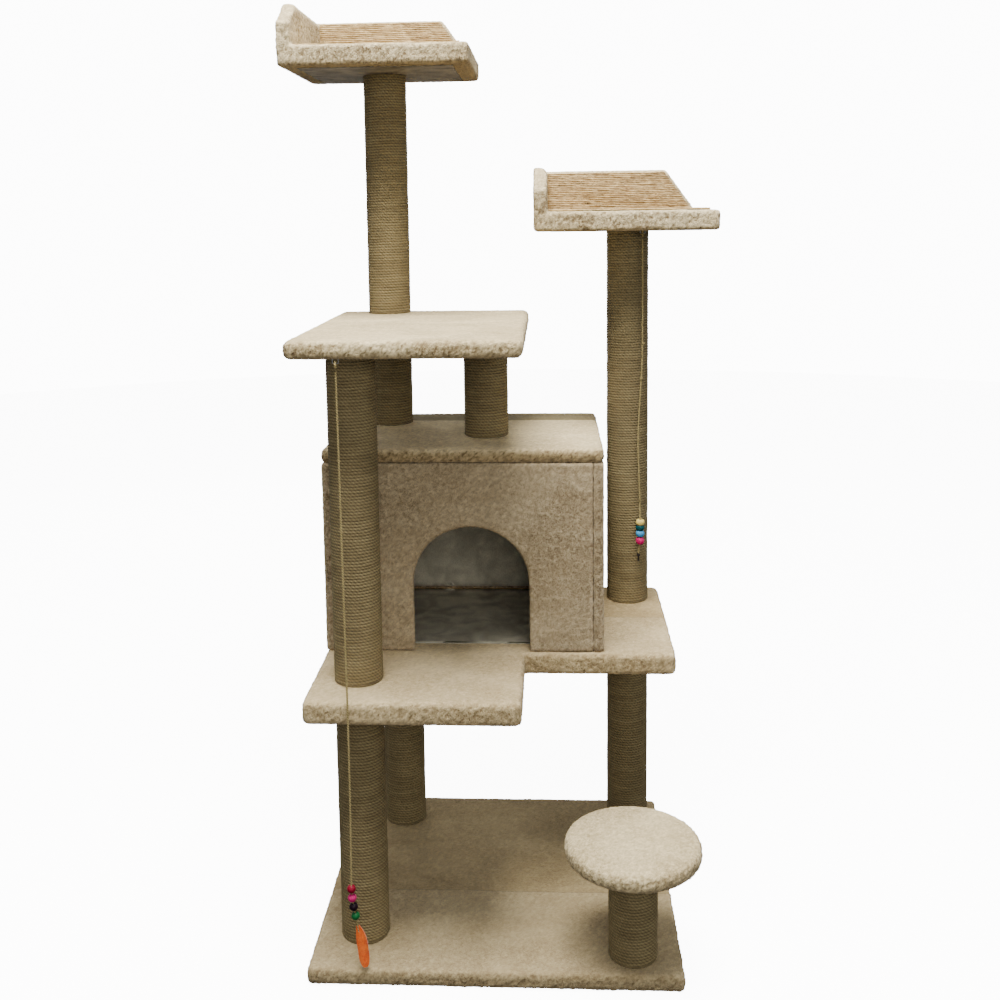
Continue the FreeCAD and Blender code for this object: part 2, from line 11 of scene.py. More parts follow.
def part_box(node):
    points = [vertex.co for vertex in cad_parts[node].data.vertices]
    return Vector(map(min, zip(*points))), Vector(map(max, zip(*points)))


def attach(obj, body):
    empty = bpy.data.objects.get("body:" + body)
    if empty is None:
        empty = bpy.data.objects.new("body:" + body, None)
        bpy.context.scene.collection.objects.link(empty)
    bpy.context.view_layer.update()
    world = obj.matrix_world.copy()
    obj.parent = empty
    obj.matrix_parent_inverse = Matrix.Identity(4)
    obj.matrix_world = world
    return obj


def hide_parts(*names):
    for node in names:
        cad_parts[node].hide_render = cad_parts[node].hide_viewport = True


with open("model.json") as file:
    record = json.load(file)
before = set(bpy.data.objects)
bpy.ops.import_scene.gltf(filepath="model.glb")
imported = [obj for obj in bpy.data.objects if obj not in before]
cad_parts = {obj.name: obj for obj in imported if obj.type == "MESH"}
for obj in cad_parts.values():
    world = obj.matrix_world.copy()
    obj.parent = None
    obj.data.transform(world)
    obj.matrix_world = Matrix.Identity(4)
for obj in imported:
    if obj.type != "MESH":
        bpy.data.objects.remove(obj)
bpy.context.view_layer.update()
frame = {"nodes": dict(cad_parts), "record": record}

MM = 0.001
TURN = 2.0 * math.pi
SAME = 1e-6               # metres apart, and still the same level
NEAR = 1e-5               # metres apart, and still the same place

# ---- sizes that the frame's boxes don't give -------------------------------------------------
MID_NOSE_RIGHT = 47.5 * MM    # where the L's nose ends on the right
MID_SIDE_FRONT = -63.0 * MM   # front edge of the L's main part
HOUSE_WALL = 18.0 * MM
DOOR_X = -43.5 * MM
DOOR_R = 100.5 * MM
DOOR_SPRING = 121.0 * MM      # height at which the arch begins
PERCH_T = 36.0 * MM
WING_T = 24.0 * MM
SIDE_CUT = 66.0 * MM          # the side wing's front slope: its run and its rise
SIDE_CUT_H = 42.0 * MM
BACK_CUT = 58.0 * MM          # the back wing's slope: its run, and how far in it starts
BACK_END = 12.0 * MM
MAT_T = 4.0 * MM
ROPE_D = 6.0 * MM
ROPE_PITCH = 5.0 * MM         # turns are pressed together
STRING_R = 1.5 * MM
FINE_VOXEL = 2.7 * MM         # mesh size of the carpets seen close, and of the others
BROAD_VOXEL = 3.3 * MM


# ---- camera ----------------------------------------------------------------------------------
def set_camera():
    """A 41 mm lens, 1.23 m above the floor and 1.96 m in front of the origin."""
    lens = bpy.data.cameras.new("camera")
    lens.sensor_width = 36.0
    lens.lens = 41.245
    lens.shift_x = 0.01114
    lens.shift_y = -0.1518
    camera = bpy.data.objects.new("camera", lens)
    bpy.context.scene.collection.objects.link(camera)
    yaw, pitch, roll = -0.05338, 0.11964, -0.01335
    turn = (Matrix.Rotation(-yaw, 4, "Z") @ Matrix.Rotation(math.pi / 2 - pitch, 4, "X")
            @ Matrix.Rotation(roll, 4, "Z"))
    camera.matrix_world = Matrix.Translation((0.0945, -1.9643, 1.2334)) @ turn
    bpy.context.scene.camera = camera


set_camera()


# ---- modelling helpers -----------------------------------------------------------------------
def corners_of(node):
    """A CAD node's lowest and highest corners."""
    return [Vector(corner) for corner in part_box(node)]


def rest():
    """Leave edit mode and select nothing."""
    if bpy.context.object and bpy.context.object.mode != "OBJECT":
        bpy.ops.object.mode_set(mode="OBJECT")
    bpy.ops.object.select_all(action="DESELECT")


def take(piece):
    """Make a piece the only selected one and the active one."""
    rest()
    piece.select_set(True)
    bpy.context.view_layer.objects.active = piece


def settle(name):
    """Name the new primitive, and put its place, turn and size in its mesh."""
    piece = bpy.context.object
    piece.name = name
    piece.data.name = name
    bpy.ops.object.transform_apply(location=True, rotation=True, scale=True)
    return piece


def block(name, low, high):
    """A box between two corners."""
    rest()
    low, high = Vector(low), Vector(high)
    bpy.ops.mesh.primitive_cube_add(size=1.0, location=(low + high) / 2)
    bpy.context.object.scale = high - low
    return settle(name)


def modify(piece, kind, **settings):
    """Add a modifier with its settings and apply it."""
    step = piece.modifiers.new(kind.lower(), kind)
    for key, value in settings.items():
        setattr(step, key, value)
    take(piece)
    bpy.ops.object.modifier_apply(modifier=step.name)
    return piece


def edit_all(piece):
    """Enter edit mode with everything selected."""
    take(piece)
    bpy.ops.object.mode_set(mode="EDIT")
    bpy.ops.mesh.select_all(action="SELECT")


def edit_none(piece, part):
    """Enter edit mode to pick one kind of part, with nothing selected; returns the mesh."""
    take(piece)
    bpy.ops.object.mode_set(mode="EDIT")
    bpy.ops.mesh.select_mode(type=part)
    bpy.ops.mesh.select_all(action="DESELECT")
    return bmesh.from_edit_mesh(piece.data)


def edit_edges(piece, wanted):
    """Enter edit mode with the edges selected that wanted(a, b) picks by their two ends."""
    mesh = edit_none(piece, "EDGE")
    for edge in mesh.edges:
        if wanted(edge.verts[0].co, edge.verts[1].co):
            edge.select_set(True)
    bmesh.update_edit_mesh(piece.data)


def edit_faces(piece, wanted):
    """Enter edit mode with the faces selected that wanted(centre, normal) picks."""
    mesh = edit_none(piece, "FACE")
    mesh.normal_update()
    for face in mesh.faces:
        if wanted(face.calc_center_median(), face.normal):
            face.select_set(True)
    bmesh.update_edit_mesh(piece.data)


def divide(piece, cuts):
    """Subdivide every edge of a piece."""
    edit_all(piece)
    bpy.ops.mesh.subdivide(number_cuts=cuts)
    rest()


def slice_off(piece, place, way, **settings):
    """Cut a piece all through at a plane."""
    edit_all(piece)
    bpy.ops.mesh.bisect(plane_co=place, plane_no=way, **settings)
    rest()


def upright(a, b):
    return math.hypot(a.x - b.x, a.y - b.y) < SAME


def bevel(piece, wanted, width, segments):
    edit_edges(piece, wanted)
    bpy.ops.mesh.bevel(offset=width, segments=segments, affect="EDGES", clamp_overlap=True)
    rest()


def join(name, pieces):
    """Join several pieces into the first."""
    take(pieces[0])
    for piece in pieces[1:]:
        piece.select_set(True)
    bpy.ops.object.join()
    joined = bpy.context.object
    joined.name = name
    joined.data.name = name
    return joined


def smooth(piece):
    take(piece)
    bpy.ops.object.shade_smooth()


def carve(piece, operation, tool):
    """Cut a tool's shape out of a piece or add it, and delete the tool."""
    modify(piece, "BOOLEAN", operation=operation, solver="EXACT", object=tool)
    bpy.data.objects.remove(tool, do_unlink=True)


def relief_patterns():
    """Tufts of pile, curls of yarn, brushed hollows, fine fibre and hand-made unevenness."""
    patterns = {}
    for name, size, basis, kind in (("tufts", 7.5 * MM, "VORONOI_F1", "SOFT_NOISE"),
                                    ("curls", 5.0 * MM, "ORIGINAL_PERLIN", "HARD_NOISE"),
                                    ("hollows", 70.0 * MM, "ORIGINAL_PERLIN", "SOFT_NOISE"),
                                    ("fine", 1.8 * MM, "ORIGINAL_PERLIN", "SOFT_NOISE"),
                                    ("uneven", 22.0 * MM, "ORIGINAL_PERLIN", "SOFT_NOISE")):
        texture = bpy.data.textures.new(name, "CLOUDS")
        texture.noise_scale = size
        texture.noise_basis = basis
        texture.noise_depth = 1
        texture.noise_type = kind
        patterns[name] = texture
    return patterns


RELIEF = relief_patterns()


def ruffle(piece, pattern, depth, middle=0.5, **settings):
    """Push a piece's skin in and out by a relief pattern; middle is the level left in place."""
    modify(piece, "DISPLACE", texture=RELIEF[pattern], texture_coords="LOCAL", strength=depth,
           mid_level=middle, **settings)


def vertex_values(piece, kind):
    """Every vertex's place, for kind co, or its normal."""
    values = np.empty(len(piece.data.vertices) * 3)
    piece.data.vertices.foreach_get(kind, values)
    return values.reshape(-1, 3)


# ---- node helpers ----------------------------------------------------------------------------
def shade(code):
    """sRGB hex code to linear RGBA."""
    parts = [int(code[i:i + 2], 16) / 255.0 for i in (0, 2, 4)]
    return [c / 12.92 if c <= 0.04045 else ((c + 0.055) / 1.055) ** 2.4 for c in parts] + [1.0]


def add(tree, kind, inputs, out=0, **settings):
    """Add a node with its settings and links; an input is a value or the socket that feeds it.

    Returns the output socket out.
    """
    made = tree.nodes.new("ShaderNode" + kind)
    for key, value in settings.items():
        setattr(made, key, value)
    for key, value in inputs.items():
        if isinstance(value, bpy.types.NodeSocket):
            tree.links.new(value, made.inputs[key])
        else:
            made.inputs[key].default_value = value
    return made.outputs[out]


def coat(tree, colour, *layers, **settings):
    """Lay tones over a colour, each as strongly as its pattern says.

    A layer is (pattern, its low level, its high level, share at low, share at high, tone), or
    (pattern, tone) where the pattern is the share.
    """
    for pattern, *levels, tone in layers:
        if levels:
            sockets = ("From Min", "From Max", "To Min", "To Max")
            pattern = add(tree, "MapRange", {"Value": pattern, **dict(zip(sockets, levels))})
        colour = add(tree, "Mix", {0: pattern, 6: colour, 7: shade(tone)}, 2, data_type="RGBA",
                     **settings)
    return colour


def plain(name, roughness, colour, **sockets):
    """A material with nothing but its main shader."""
    material = bpy.data.materials.new(name)
    material.use_nodes = True
    shader = material.node_tree.nodes["Principled BSDF"]
    shader.inputs["Base Color"].default_value = shade(colour)
    shader.inputs["Roughness"].default_value = roughness
    for key, value in sockets.items():
        shader.inputs[key.replace("_", " ")].default_value = value
    return material


def begin(name, roughness, colour, **sockets):
    """Begin a material with patterns; returns it, its node tree and the place on the piece."""
    material = plain(name, roughness, colour, **sockets)
    tree = material.node_tree
    return material, tree, add(tree, "TexCoord", {}, "Object")


def skin(material, colour, height, depth, strength):
    """Feed a material's shader its colour and a fine relief of a given depth."""
    tree = material.node_tree
    shader = tree.nodes["Principled BSDF"]
    tree.links.new(colour, shader.inputs["Base Color"])
    relief = add(tree, "Bump", {"Height": height, "Distance": depth, "Strength": strength})
    tree.links.new(relief, shader.inputs["Normal"])
    return material


# ---- materials -------------------------------------------------------------------------------
PILE_CURL = 3.0 * MM          # one curl of yarn
PILE_TUFT = 8.0 * MM          # a clump of curls
PILE_SWEEP = 110.0 * MM       # a patch brushed one way
PILE_PATCH = 150.0 * MM       # a patch combed smooth or left curly
CURL_SHARE = 0.6              # how much of the fleck is curls; the rest is tufts
PILE_SUNK = -1.25             # millimetres of rise: only root shows at the first, as painted shade in the hollows, and the tips show in full from the second
PILE_PROUD = 0.3              # and the tips show in full from the second
SEAM_CORE = 0.4 * MM          # half width of the seam's dark line, and of its soft edge
SEAM_EDGE = 1.6 * MM


def plush(name, tip, root, contrast=0.5, sweep_turn=0.5, seam=None, shaded=(0.5, 0.45)):
    """Acrylic plush pile, tufted and brushed: pale yarn tips over darker roots, no gloss, a soft
    sheen, and broad patches that lie another way. Rims show more root. Painted shade: the root
    colour fills the pile's hollows, and undersides and lower rims are painted browner. seam is
    (axis, place, tint beyond it); shaded is (where the painted shade starts, its share)."""
    material, tree, where = begin(name, 0.95, tip, Sheen_Weight=0.2, Sheen_Roughness=0.6,
                                  Sheen_Tint=shade("F6EFD8"), Specular_IOR_Level=0.1)
    rise, rim, under = (add(tree, "Attribute", {}, "Fac", attribute_name=kept)
                        for kept in ("pile", "rim_share", "under"))
    curl = add(tree, "TexNoise", {"Vector": where, "Scale": 1.0 / PILE_CURL, "Distortion": 1.5})
    tuft = add(tree, "TexNoise", {"Vector": where, "Scale": 1.0 / PILE_TUFT, "Distortion": 1.0})
    curled = add(tree, "MapRange", {"Value": curl, "From Min": 0.36, "From Max": 0.64})
    tufted = add(tree, "MapRange", {"Value": tuft, "From Min": 0.36, "From Max": 0.64,
                                    "To Max": 1.0 - CURL_SHARE})
    yarn = add(tree, "Math", {0: curled, 1: CURL_SHARE, 2: tufted}, operation="MULTIPLY_ADD")
    patch = add(tree, "TexNoise", {"Vector": where, "Scale": 1.0 / PILE_PATCH, "Detail": 1.0,
                                   "Distortion": 0.6})
    curly = add(tree, "MapRange", {"Value": patch, "From Min": 0.38, "From Max": 0.62,
                                   "To Min": 1.3, "To Max": 0.6})
    at_rim = add(tree, "MapRange", {"Value": rim, "From Min": 0.3, "From Max": 1.0,
                                    "To Min": contrast, "To Max": contrast * 1.5})
    open_pile = add(tree, "Math", {0: at_rim, 1: curly}, operation="MULTIPLY")
    between = add(tree, "Math", {0: yarn, 1: 1.0}, operation="SUBTRACT")
    shown = add(tree, "Math", {0: between, 1: open_pile, 2: 1.0}, operation="MULTIPLY_ADD")
    # Painted shade: where the pile sinks, the root colour shows in full.
    raised = add(tree, "MapRange", {"Value": rise, "From Min": PILE_SUNK,
                                    "From Max": PILE_PROUD})
    tip_share = add(tree, "Math", {0: shown, 1: raised}, operation="MULTIPLY")
    colour = coat(tree, shade(root), (tip_share, tip))
    slanted = add(tree, "Mapping", {"Vector": where, "Rotation": (0.3, sweep_turn, 0.2),
                                    "Scale": (0.6, 1.0, 2.2)})
    brushed = add(tree, "TexNoise", {"Vector": slanted, "Scale": 1.0 / PILE_SWEEP,
                                     "Distortion": 0.8})
    # Painted shade: faces that turn down are multiplied browner, starting at shaded[0] of 'under'.
    colour = coat(tree, colour, (under, shaded[0], shaded[0] + 0.35, 0.0, shaded[1], "9E8B70"),
                  (brushed, 0.38, 0.62, 0.35, 0.0, "C4B9AA"), blend_type="MULTIPLY")
    if seam:
        axis, edge, tint = seam
        along = add(tree, "SeparateXYZ", {0: where}, axis)
        beyond = add(tree, "Math", {0: along, 1: edge}, operation="GREATER_THAN")
        colour = coat(tree, colour, (beyond, tint), blend_type="MULTIPLY")
        past = add(tree, "Math", {0: along, 1: edge}, operation="SUBTRACT")
        off = add(tree, "Math", {0: past}, operation="ABSOLUTE")
        colour = coat(tree, colour, (off, SEAM_CORE, SEAM_EDGE, 0.45, 0.0, "5A4F3C"))
    return skin(material, colour, yarn, 1.4 * MM, 0.7)


ROPE_LAY = 18.0 * MM          # one strand's turn round the rope
ROPE_STRANDS = 3.0
ROPE_TONE = 160.0 * MM        # a length of one tone
ROPE_GRIME = 55.0 * MM
ROPE_FIBRE = 0.7 * MM


def jute_rope():
    """Three-strand jute rope, 6 mm: olive-brown fibres, each length its own tone, with painted
    shade in the grooves between turns, strands that cross it and a matte, hairy face."""
    material, tree, where = begin("wound_jute_rope", 0.88, "8A7A50", Specular_IOR_Level=0.25)
    along = add(tree, "UVMap", {}, uv_map="rope")
    run = add(tree, "SeparateXYZ", {0: along})
    side = add(tree, "SeparateXYZ", {0: along}, 1)
    strand = add(tree, "VectorMath", {0: along, 1: (ROPE_STRANDS / ROPE_LAY, ROPE_STRANDS, 0.0)},
                 "Value", operation="DOT_PRODUCT")
    strand_turn = add(tree, "Math", {0: strand, 1: TURN}, operation="MULTIPLY")
    ridge = add(tree, "Math", {0: strand_turn}, operation="SINE")
    side_turn = add(tree, "Math", {0: side, 1: TURN}, operation="MULTIPLY")
    height = add(tree, "Math", {0: side_turn}, operation="SINE")
    groove_shade = add(tree, "Math", {0: height}, operation="ABSOLUTE")
    length = add(tree, "CombineXYZ", {0: run})
    tone = add(tree, "TexNoise", {"Vector": length, "Scale": 1.0 / ROPE_TONE, "Detail": 3.0})
    fibre_x = add(tree, "Math", {0: strand, 1: 2.2 * MM}, operation="MULTIPLY")
    fibre_y = add(tree, "Math", {0: side, 1: ROPE_D}, operation="MULTIPLY")
    fibre_way = add(tree, "CombineXYZ", {0: fibre_x, 1: fibre_y})
    fibre = add(tree, "TexNoise", {"Vector": fibre_way, "Scale": 1.0 / ROPE_FIBRE})
    grime = add(tree, "TexNoise", {"Vector": where, "Scale": 1.0 / ROPE_GRIME, "Detail": 3.0})
    toned = add(tree, "MapRange", {"Value": tone, "From Min": 0.25, "From Max": 0.75})
    clean = add(tree, "MapRange", {"Value": grime, "From Min": 0.2, "From Max": 0.8,
                                   "To Max": 0.4})
    bright = add(tree, "Math", {0: toned, 1: 0.6, 2: clean}, operation="MULTIPLY_ADD")
    # Painted shade: the grooves where each turn presses on the next are darkened.
    colour = coat(tree, shade("6B5E42"), (bright, "A0926C"), (ridge, -1.0, 0.2, 0.45, 0.0, "4C4229"),
                  (fibre, 0.35, 0.65, 0.35, 0.0, "5B4E31"), (groove_shade, 0.4, 0.9, 0.0, 0.7, "2E2716"))
    ridged = add(tree, "Math", {0: ridge, 1: 0.3}, operation="MULTIPLY")
    hairy = add(tree, "Math", {0: fibre, 1: 0.4, 2: ridged}, operation="MULTIPLY_ADD")
    return skin(material, colour, hairy, 0.9 * MM, 0.9)


def loop_mat():
    """Woven jute mat: pinkish-brown yarn rows with a light and dark fleck, matte."""
    material, tree, where = begin("woven_jute_mat", 0.92, "C09A78", Specular_IOR_Level=0.2)
    rows = add(tree, "Mapping", {"Vector": where, "Scale": (0.4, 1.0, 1.0)})
    row = add(tree, "TexNoise", {"Vector": rows, "Scale": 1.0 / (6.0 * MM), "Distortion": 1.0})
    fleck = add(tree, "TexNoise", {"Vector": rows, "Scale": 1.0 / (3.4 * MM), "Distortion": 1.4})
    wear = add(tree, "TexNoise", {"Vector": where, "Scale": 1.0 / (70.0 * MM)})
    colour = coat(tree, shade("A48A62"), (row, 0.36, 0.64, 0.0, 1.0, "D0B688"),
                  (fleck, 0.36, 0.56, 0.6, 0.0, "86704F"), (wear, 0.4, 0.65, 0.0, 0.3, "C4A878"))
    return skin(material, colour, fleck, 1.0 * MM, 0.9)


def spunbond():
    """Non-woven polypropylene cloth: grey-brown, slightly creased, with a fine bonded
    dimple grid. Its creases are darkened with painted shade."""
    material, tree, where = begin("spunbond_cloth", 0.8, "6E675B")
    fibre = add(tree, "TexNoise", {"Vector": where, "Scale": 1.0 / (1.2 * MM), "Detail": 3.0})
    cloud = add(tree, "TexNoise", {"Vector": where, "Scale": 1.0 / (50.0 * MM), "Detail": 3.0,
                                   "Distortion": 1.0})
    slanted = add(tree, "Mapping", {"Vector": where, "Rotation": (0.0, 0.0, 0.5),
                                    "Scale": (0.16, 1.0, 1.0)})
    crease_shade = add(tree, "TexNoise", {"Vector": slanted, "Scale": 1.0 / (16.0 * MM), "Detail": 1.0,
                                    "Distortion": 0.6})
    dimple = add(tree, "TexVoronoi", {"Vector": where, "Scale": 1.0 / (2.5 * MM),
                                      "Randomness": 0.15}, "Distance")
    # Painted shade: the cloth is darker along its creases.
    colour = coat(tree, shade("6E675C"), (cloud, 0.35, 0.65, 0.0, 1.0, "968E80"),
                  (fibre, 0.4, 0.6, 0.25, 0.0, "564E3F"), (crease_shade, 0.36, 0.5, 0.5, 0.0, "504A40"))
    height = add(tree, "Math", {0: dimple, 1: fibre}, operation="ADD")
    return skin(material, colour, height, 0.4 * MM, 0.5)


def wall_felt():
    """Needle-punched felt inside the house: grey-olive, thin, flat and dull."""
    material, tree, where = begin("needle_felt", 0.95, "8B887A", Specular_IOR_Level=0.1)
    fibre = add(tree, "TexNoise", {"Vector": where, "Scale": 1.0 / (1.5 * MM), "Detail": 4.0})
    cloud = add(tree, "TexNoise", {"Vector": where, "Scale": 1.0 / (45.0 * MM),
                                   "Distortion": 0.8})
    colour = coat(tree, shade("9C9888"), (cloud, 0.35, 0.65, 0.0, 1.0, "B8B3A1"),
                  (fibre, 0.38, 0.62, 0.35, 0.0, "7C7867"))
    return skin(material, colour, fibre, 0.6 * MM, 0.6)


def chipboard():
    """Raw chipboard, pressed and sanded: flat straw-coloured chips of many tones."""
    material, tree, where = begin("chipboard", 0.75, "B59B73")
    chips = add(tree, "TexVoronoi", {"Vector": where, "Scale": 1.0 / (5.0 * MM)}, "Color")
    tone = add(tree, "SeparateXYZ", {0: chips})
    dust = add(tree, "TexNoise", {"Vector": where, "Scale": 1.0 / (1.5 * MM), "Detail": 3.0})
    colour = coat(tree, shade("96774F"), (tone, "D2BB90"), (dust, 0.4, 0.65, 0.0, 0.5, "7A5E3B"))
    return skin(material, colour, tone, 0.3 * MM, 0.5)


def cardboard():
    """Spiral-wound kraft cardboard tube: brown paper with faint fibres, and a dark line every
    60 mm."""
    material, tree, where = begin("kraft_cardboard", 0.8, "A07C54")
    fibre = add(tree, "TexNoise", {"Vector": where, "Scale": 1.0 / (2.0 * MM), "Detail": 4.0,
                                   "Distortion": 1.0})
    height = add(tree, "SeparateXYZ", {0: where}, 2)
    bands = add(tree, "Math", {0: height, 1: 60.0 * MM}, operation="DIVIDE")
    wind = add(tree, "Math", {0: bands}, operation="FRACT")
    colour = coat(tree, shade("8C6A45"), (fibre, 0.35, 0.65, 0.0, 1.0, "B28E63"),
                  (wind, 0.0, 0.02, 0.6, 0.0, "5E452B"))
    return skin(material, colour, fibre, 0.2 * MM, 0.4)


def pine():
    """Turned pine plugs: pale wood with darker growth bands 30 mm apart."""
    material, tree, where = begin("turned_pine", 0.6, "D3B07C")
    bent = add(tree, "Mapping", {"Vector": where, "Rotation": (0.2, 0.3, 0.0)})
    rings = add(tree, "TexWave", {"Vector": bent, "Scale": 0.31 / (30.0 * MM),
                                  "Distortion": 3.0, "Detail": 3.0}, "Fac", wave_type="RINGS")
    colour = coat(tree, shade("DDBF8E"), (rings, "B98C55"))
    return skin(material, colour, rings, 0.15 * MM, 0.4)


def zinc():
    """Zinc-plated steel: cool bright grey metal, faintly clouded."""
    material, tree, where = begin("zinc_plated_steel", 0.35, "B9BCBD", Metallic=1.0)
    cloud = add(tree, "TexNoise", {"Vector": where, "Scale": 1.0 / (4.0 * MM), "Detail": 3.0})
    colour = coat(tree, shade("76787A"), (cloud, "9A9C9C"))
    dulled = add(tree, "MapRange", {"Value": cloud, "From Min": 0.3, "From Max": 0.7,
                                    "To Min": 0.28, "To Max": 0.45})
    shader = tree.nodes["Principled BSDF"]
    tree.links.new(colour, shader.inputs["Base Color"])
    tree.links.new(dulled, shader.inputs["Roughness"])
    return material


def foam():
    """Polyurethane foam: pale yellow, open cells about 1 mm across."""
    material, tree, where = begin("polyurethane_foam", 0.95, "E8DFBF")
    cells = add(tree, "TexVoronoi", {"Vector": where, "Scale": 1.0 / (1.2 * MM)}, "Distance")
    colour = coat(tree, shade("BDB18A"), (cells, "EFE7CB"))
    return skin(material, colour, cells, 0.8 * MM, 0.8)


def twine():
    """Two-ply cotton twine: beige plies that slant, 4 mm apart, with darker joins between."""
    material, tree, where = begin("cotton_twine", 0.85, "CDBE90", Specular_IOR_Level=0.2)
    across = add(tree, "VectorMath", {0: where, 1: (260.0, 120.0, 1.0 / (4.0 * MM))}, "Value",
                 operation="DOT_PRODUCT")
    ply_turn = add(tree, "Math", {0: across, 1: TURN}, operation="MULTIPLY")
    ply = add(tree, "Math", {0: ply_turn}, operation="SINE")
    fuzz = add(tree, "TexNoise", {"Vector": where, "Scale": 1.0 / (1.5 * MM), "Detail": 3.0})
    colour = coat(tree, shade("74663F"), (ply, -1.0, 0.4, 0.0, 1.0, "AC9C6E"),
                  (fuzz, 0.4, 0.6, 0.25, 0.0, "8E8059"))
    return skin(material, colour, ply, 0.5 * MM, 0.8)


def lacquered(name, colour, deep):
    """Lacquered wooden bead: a saturated gloss coat, a little deeper where the grain drinks it."""
    material, tree, where = begin(name, 0.36, colour, Specular_IOR_Level=0.16)
    grain = add(tree, "Mapping", {"Vector": where, "Scale": (1.0, 1.0, 0.25)})
    streak = add(tree, "TexNoise", {"Vector": grain, "Scale": 1.0 / (1.6 * MM), "Detail": 3.0})
    stained = coat(tree, shade(colour), (streak, 0.35, 0.65, 0.0, 0.6, deep))
    return skin(material, stained, streak, 0.1 * MM, 0.3)


def orange_felt():
    """Wool felt, 2.5 mm: bright orange, matted fibres, fuzzy and dull."""
    material, tree, where = begin("orange_felt", 0.95, "E8742C", Sheen_Weight=0.3,
                                  Specular_IOR_Level=0.1)
    fibre = add(tree, "TexNoise", {"Vector": where, "Scale": 1.0 / (1.4 * MM), "Detail": 4.0,
                                   "Distortion": 1.5})
    cloud = add(tree, "TexNoise", {"Vector": where, "Scale": 1.0 / (12.0 * MM)})
    colour = coat(tree, shade("B43A04"), (fibre, 0.35, 0.65, 0.0, 1.0, "E4640E"),
                  (cloud, 0.4, 0.65, 0.0, 0.4, "F47C26"))
    return skin(material, colour, fibre, 0.6 * MM, 0.8)


def dark_thread():
    """Dark waxed thread: near black, with plies 4 mm apart that catch a little light."""
    material, tree, where = begin("waxed_thread", 0.7, "1E1815", Specular_IOR_Level=0.15)
    plies = add(tree, "TexWave", {"Vector": where, "Scale": 90.0, "Distortion": 1.0}, "Fac",
                bands_direction="DIAGONAL")
    colour = coat(tree, shade("0E0B0A"), (plies, "2C2420"))
    return skin(material, colour, plies, 0.3 * MM, 0.8)


def grey_card():
    """Matt grey card under the floor: it keeps the light from below as low as in a dim room."""
    return plain("grey_card", 1.0, "6E6A61")


def studio_floor():
    """Matt painted studio floor: white with the faintest mottle, and it glows evenly."""
    material, tree, where = begin("painted_floor", 0.9, "F2F2F2", Emission_Strength=11.0,
                                  Emission_Color=shade("FFFFFF"))
    cloud = add(tree, "TexNoise", {"Vector": where, "Scale": 1.0 / 0.8})
    colour = coat(tree, shade("EFEFEE"), (cloud, "F5F5F5"))
    tree.links.new(colour, tree.nodes["Principled BSDF"].inputs["Base Color"])
    return material


def white_paper():
    """Seamless white studio paper, evenly lit: it only glows white."""
    return plain("studio_paper", 1.0, "FFFFFF", Emission_Strength=12.0,
                 Emission_Color=shade("FFFFFF"))


# The second colour is the yarn roots' colour, and also the painted shade in the pile's hollows.
PALE, ROOT_AND_HOLLOW_SHADE = "EEDDB0", "6C5838"
CARPET_FINISH = plush("plush_carpet", PALE, ROOT_AND_HOLLOW_SHADE)
PERCH_FINISH = plush("plush_carpet_perch", "F4E4BA", "665234", 0.55, shaded=(0.45, 0.6))
BASE_FINISH = plush("plush_carpet_base", "BEAD86", "6A583C", 0.5, 0.9, (1, -0.053, "EEEAE0"))
WALL_FINISH = plush("plush_carpet_walls", "C8B796", "6C5C44", 0.75, 0.65)
# The roof's rear strip, behind Y = 0.214 m, is tinted darker and greyer with a dark line at its
# edge; its rims take a strong painted shade.
ROOF_FINISH = plush("plush_carpet_roof", PALE, ROOT_AND_HOLLOW_SHADE, 0.5, 0.2, (1, 0.214, "9A9684"),
                    (0.15, 0.6))
MID_FINISH = plush("plush_carpet_middle", "DAC79C", "7C6848", 0.5, 0.3, (1, 0.118, "EFEADF"),
                   (0.55, 0.35))
ROPE_FINISH = jute_rope()
MAT_FINISH = loop_mat()
CLOTH_FINISH = spunbond()
FELT_LINING = wall_felt()
TWINE_FINISH = twine()
THREAD_FINISH = dark_thread()
FELT_FINISH = orange_felt()
BEAD_FINISH = {name: lacquered("lacquer_" + name, colour, deep) for name, colour, deep in (
    ("red", "7E0A26", "520618"), ("pink", "C01E6C", "8A1248"),
    ("purple", "180614", "0C020A"), ("green", "125A2E", "093A1C"),
    ("cream", "E8D27A", "B89A48"), ("teal", "0C4A50", "062A2E"),
    ("blue", "4AA2DA", "1E66A4"), ("magenta", "CC1468", "8E0A46"))}
SLOT_FINISH = {
    "plush_carpet": CARPET_FINISH, "jute_rope": ROPE_FINISH, "loop_mat": MAT_FINISH,
    "lining_cloth": CLOTH_FINISH, "board": chipboard(), "cardboard": cardboard(),
    "pine": pine(), "zinc_steel": zinc(), "foam": foam(), "twine": TWINE_FINISH,
    "bead_red": BEAD_FINISH["red"], "bead_cream": BEAD_FINISH["cream"],
    "felt_orange": FELT_FINISH, "dark_thread": THREAD_FINISH,
}


def dress_frame():
    """Give every CAD node the finish of its slot."""
    for subpart in frame["record"]["subparts"]:
        node = frame["nodes"][subpart["node"]]
        node.data.materials.clear()
        node.data.materials.append(SLOT_FINISH[subpart["material_slot"]])


def finish_piece(piece, finish, body, slot, *nodes):
    """Give a piece its finish and the body it rides on, and hide the CAD nodes it stands for."""
    piece.data.materials.clear()
    piece.data.materials.append(finish)
    if nodes:
        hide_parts(*nodes)
    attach(piece, body)
    return piece


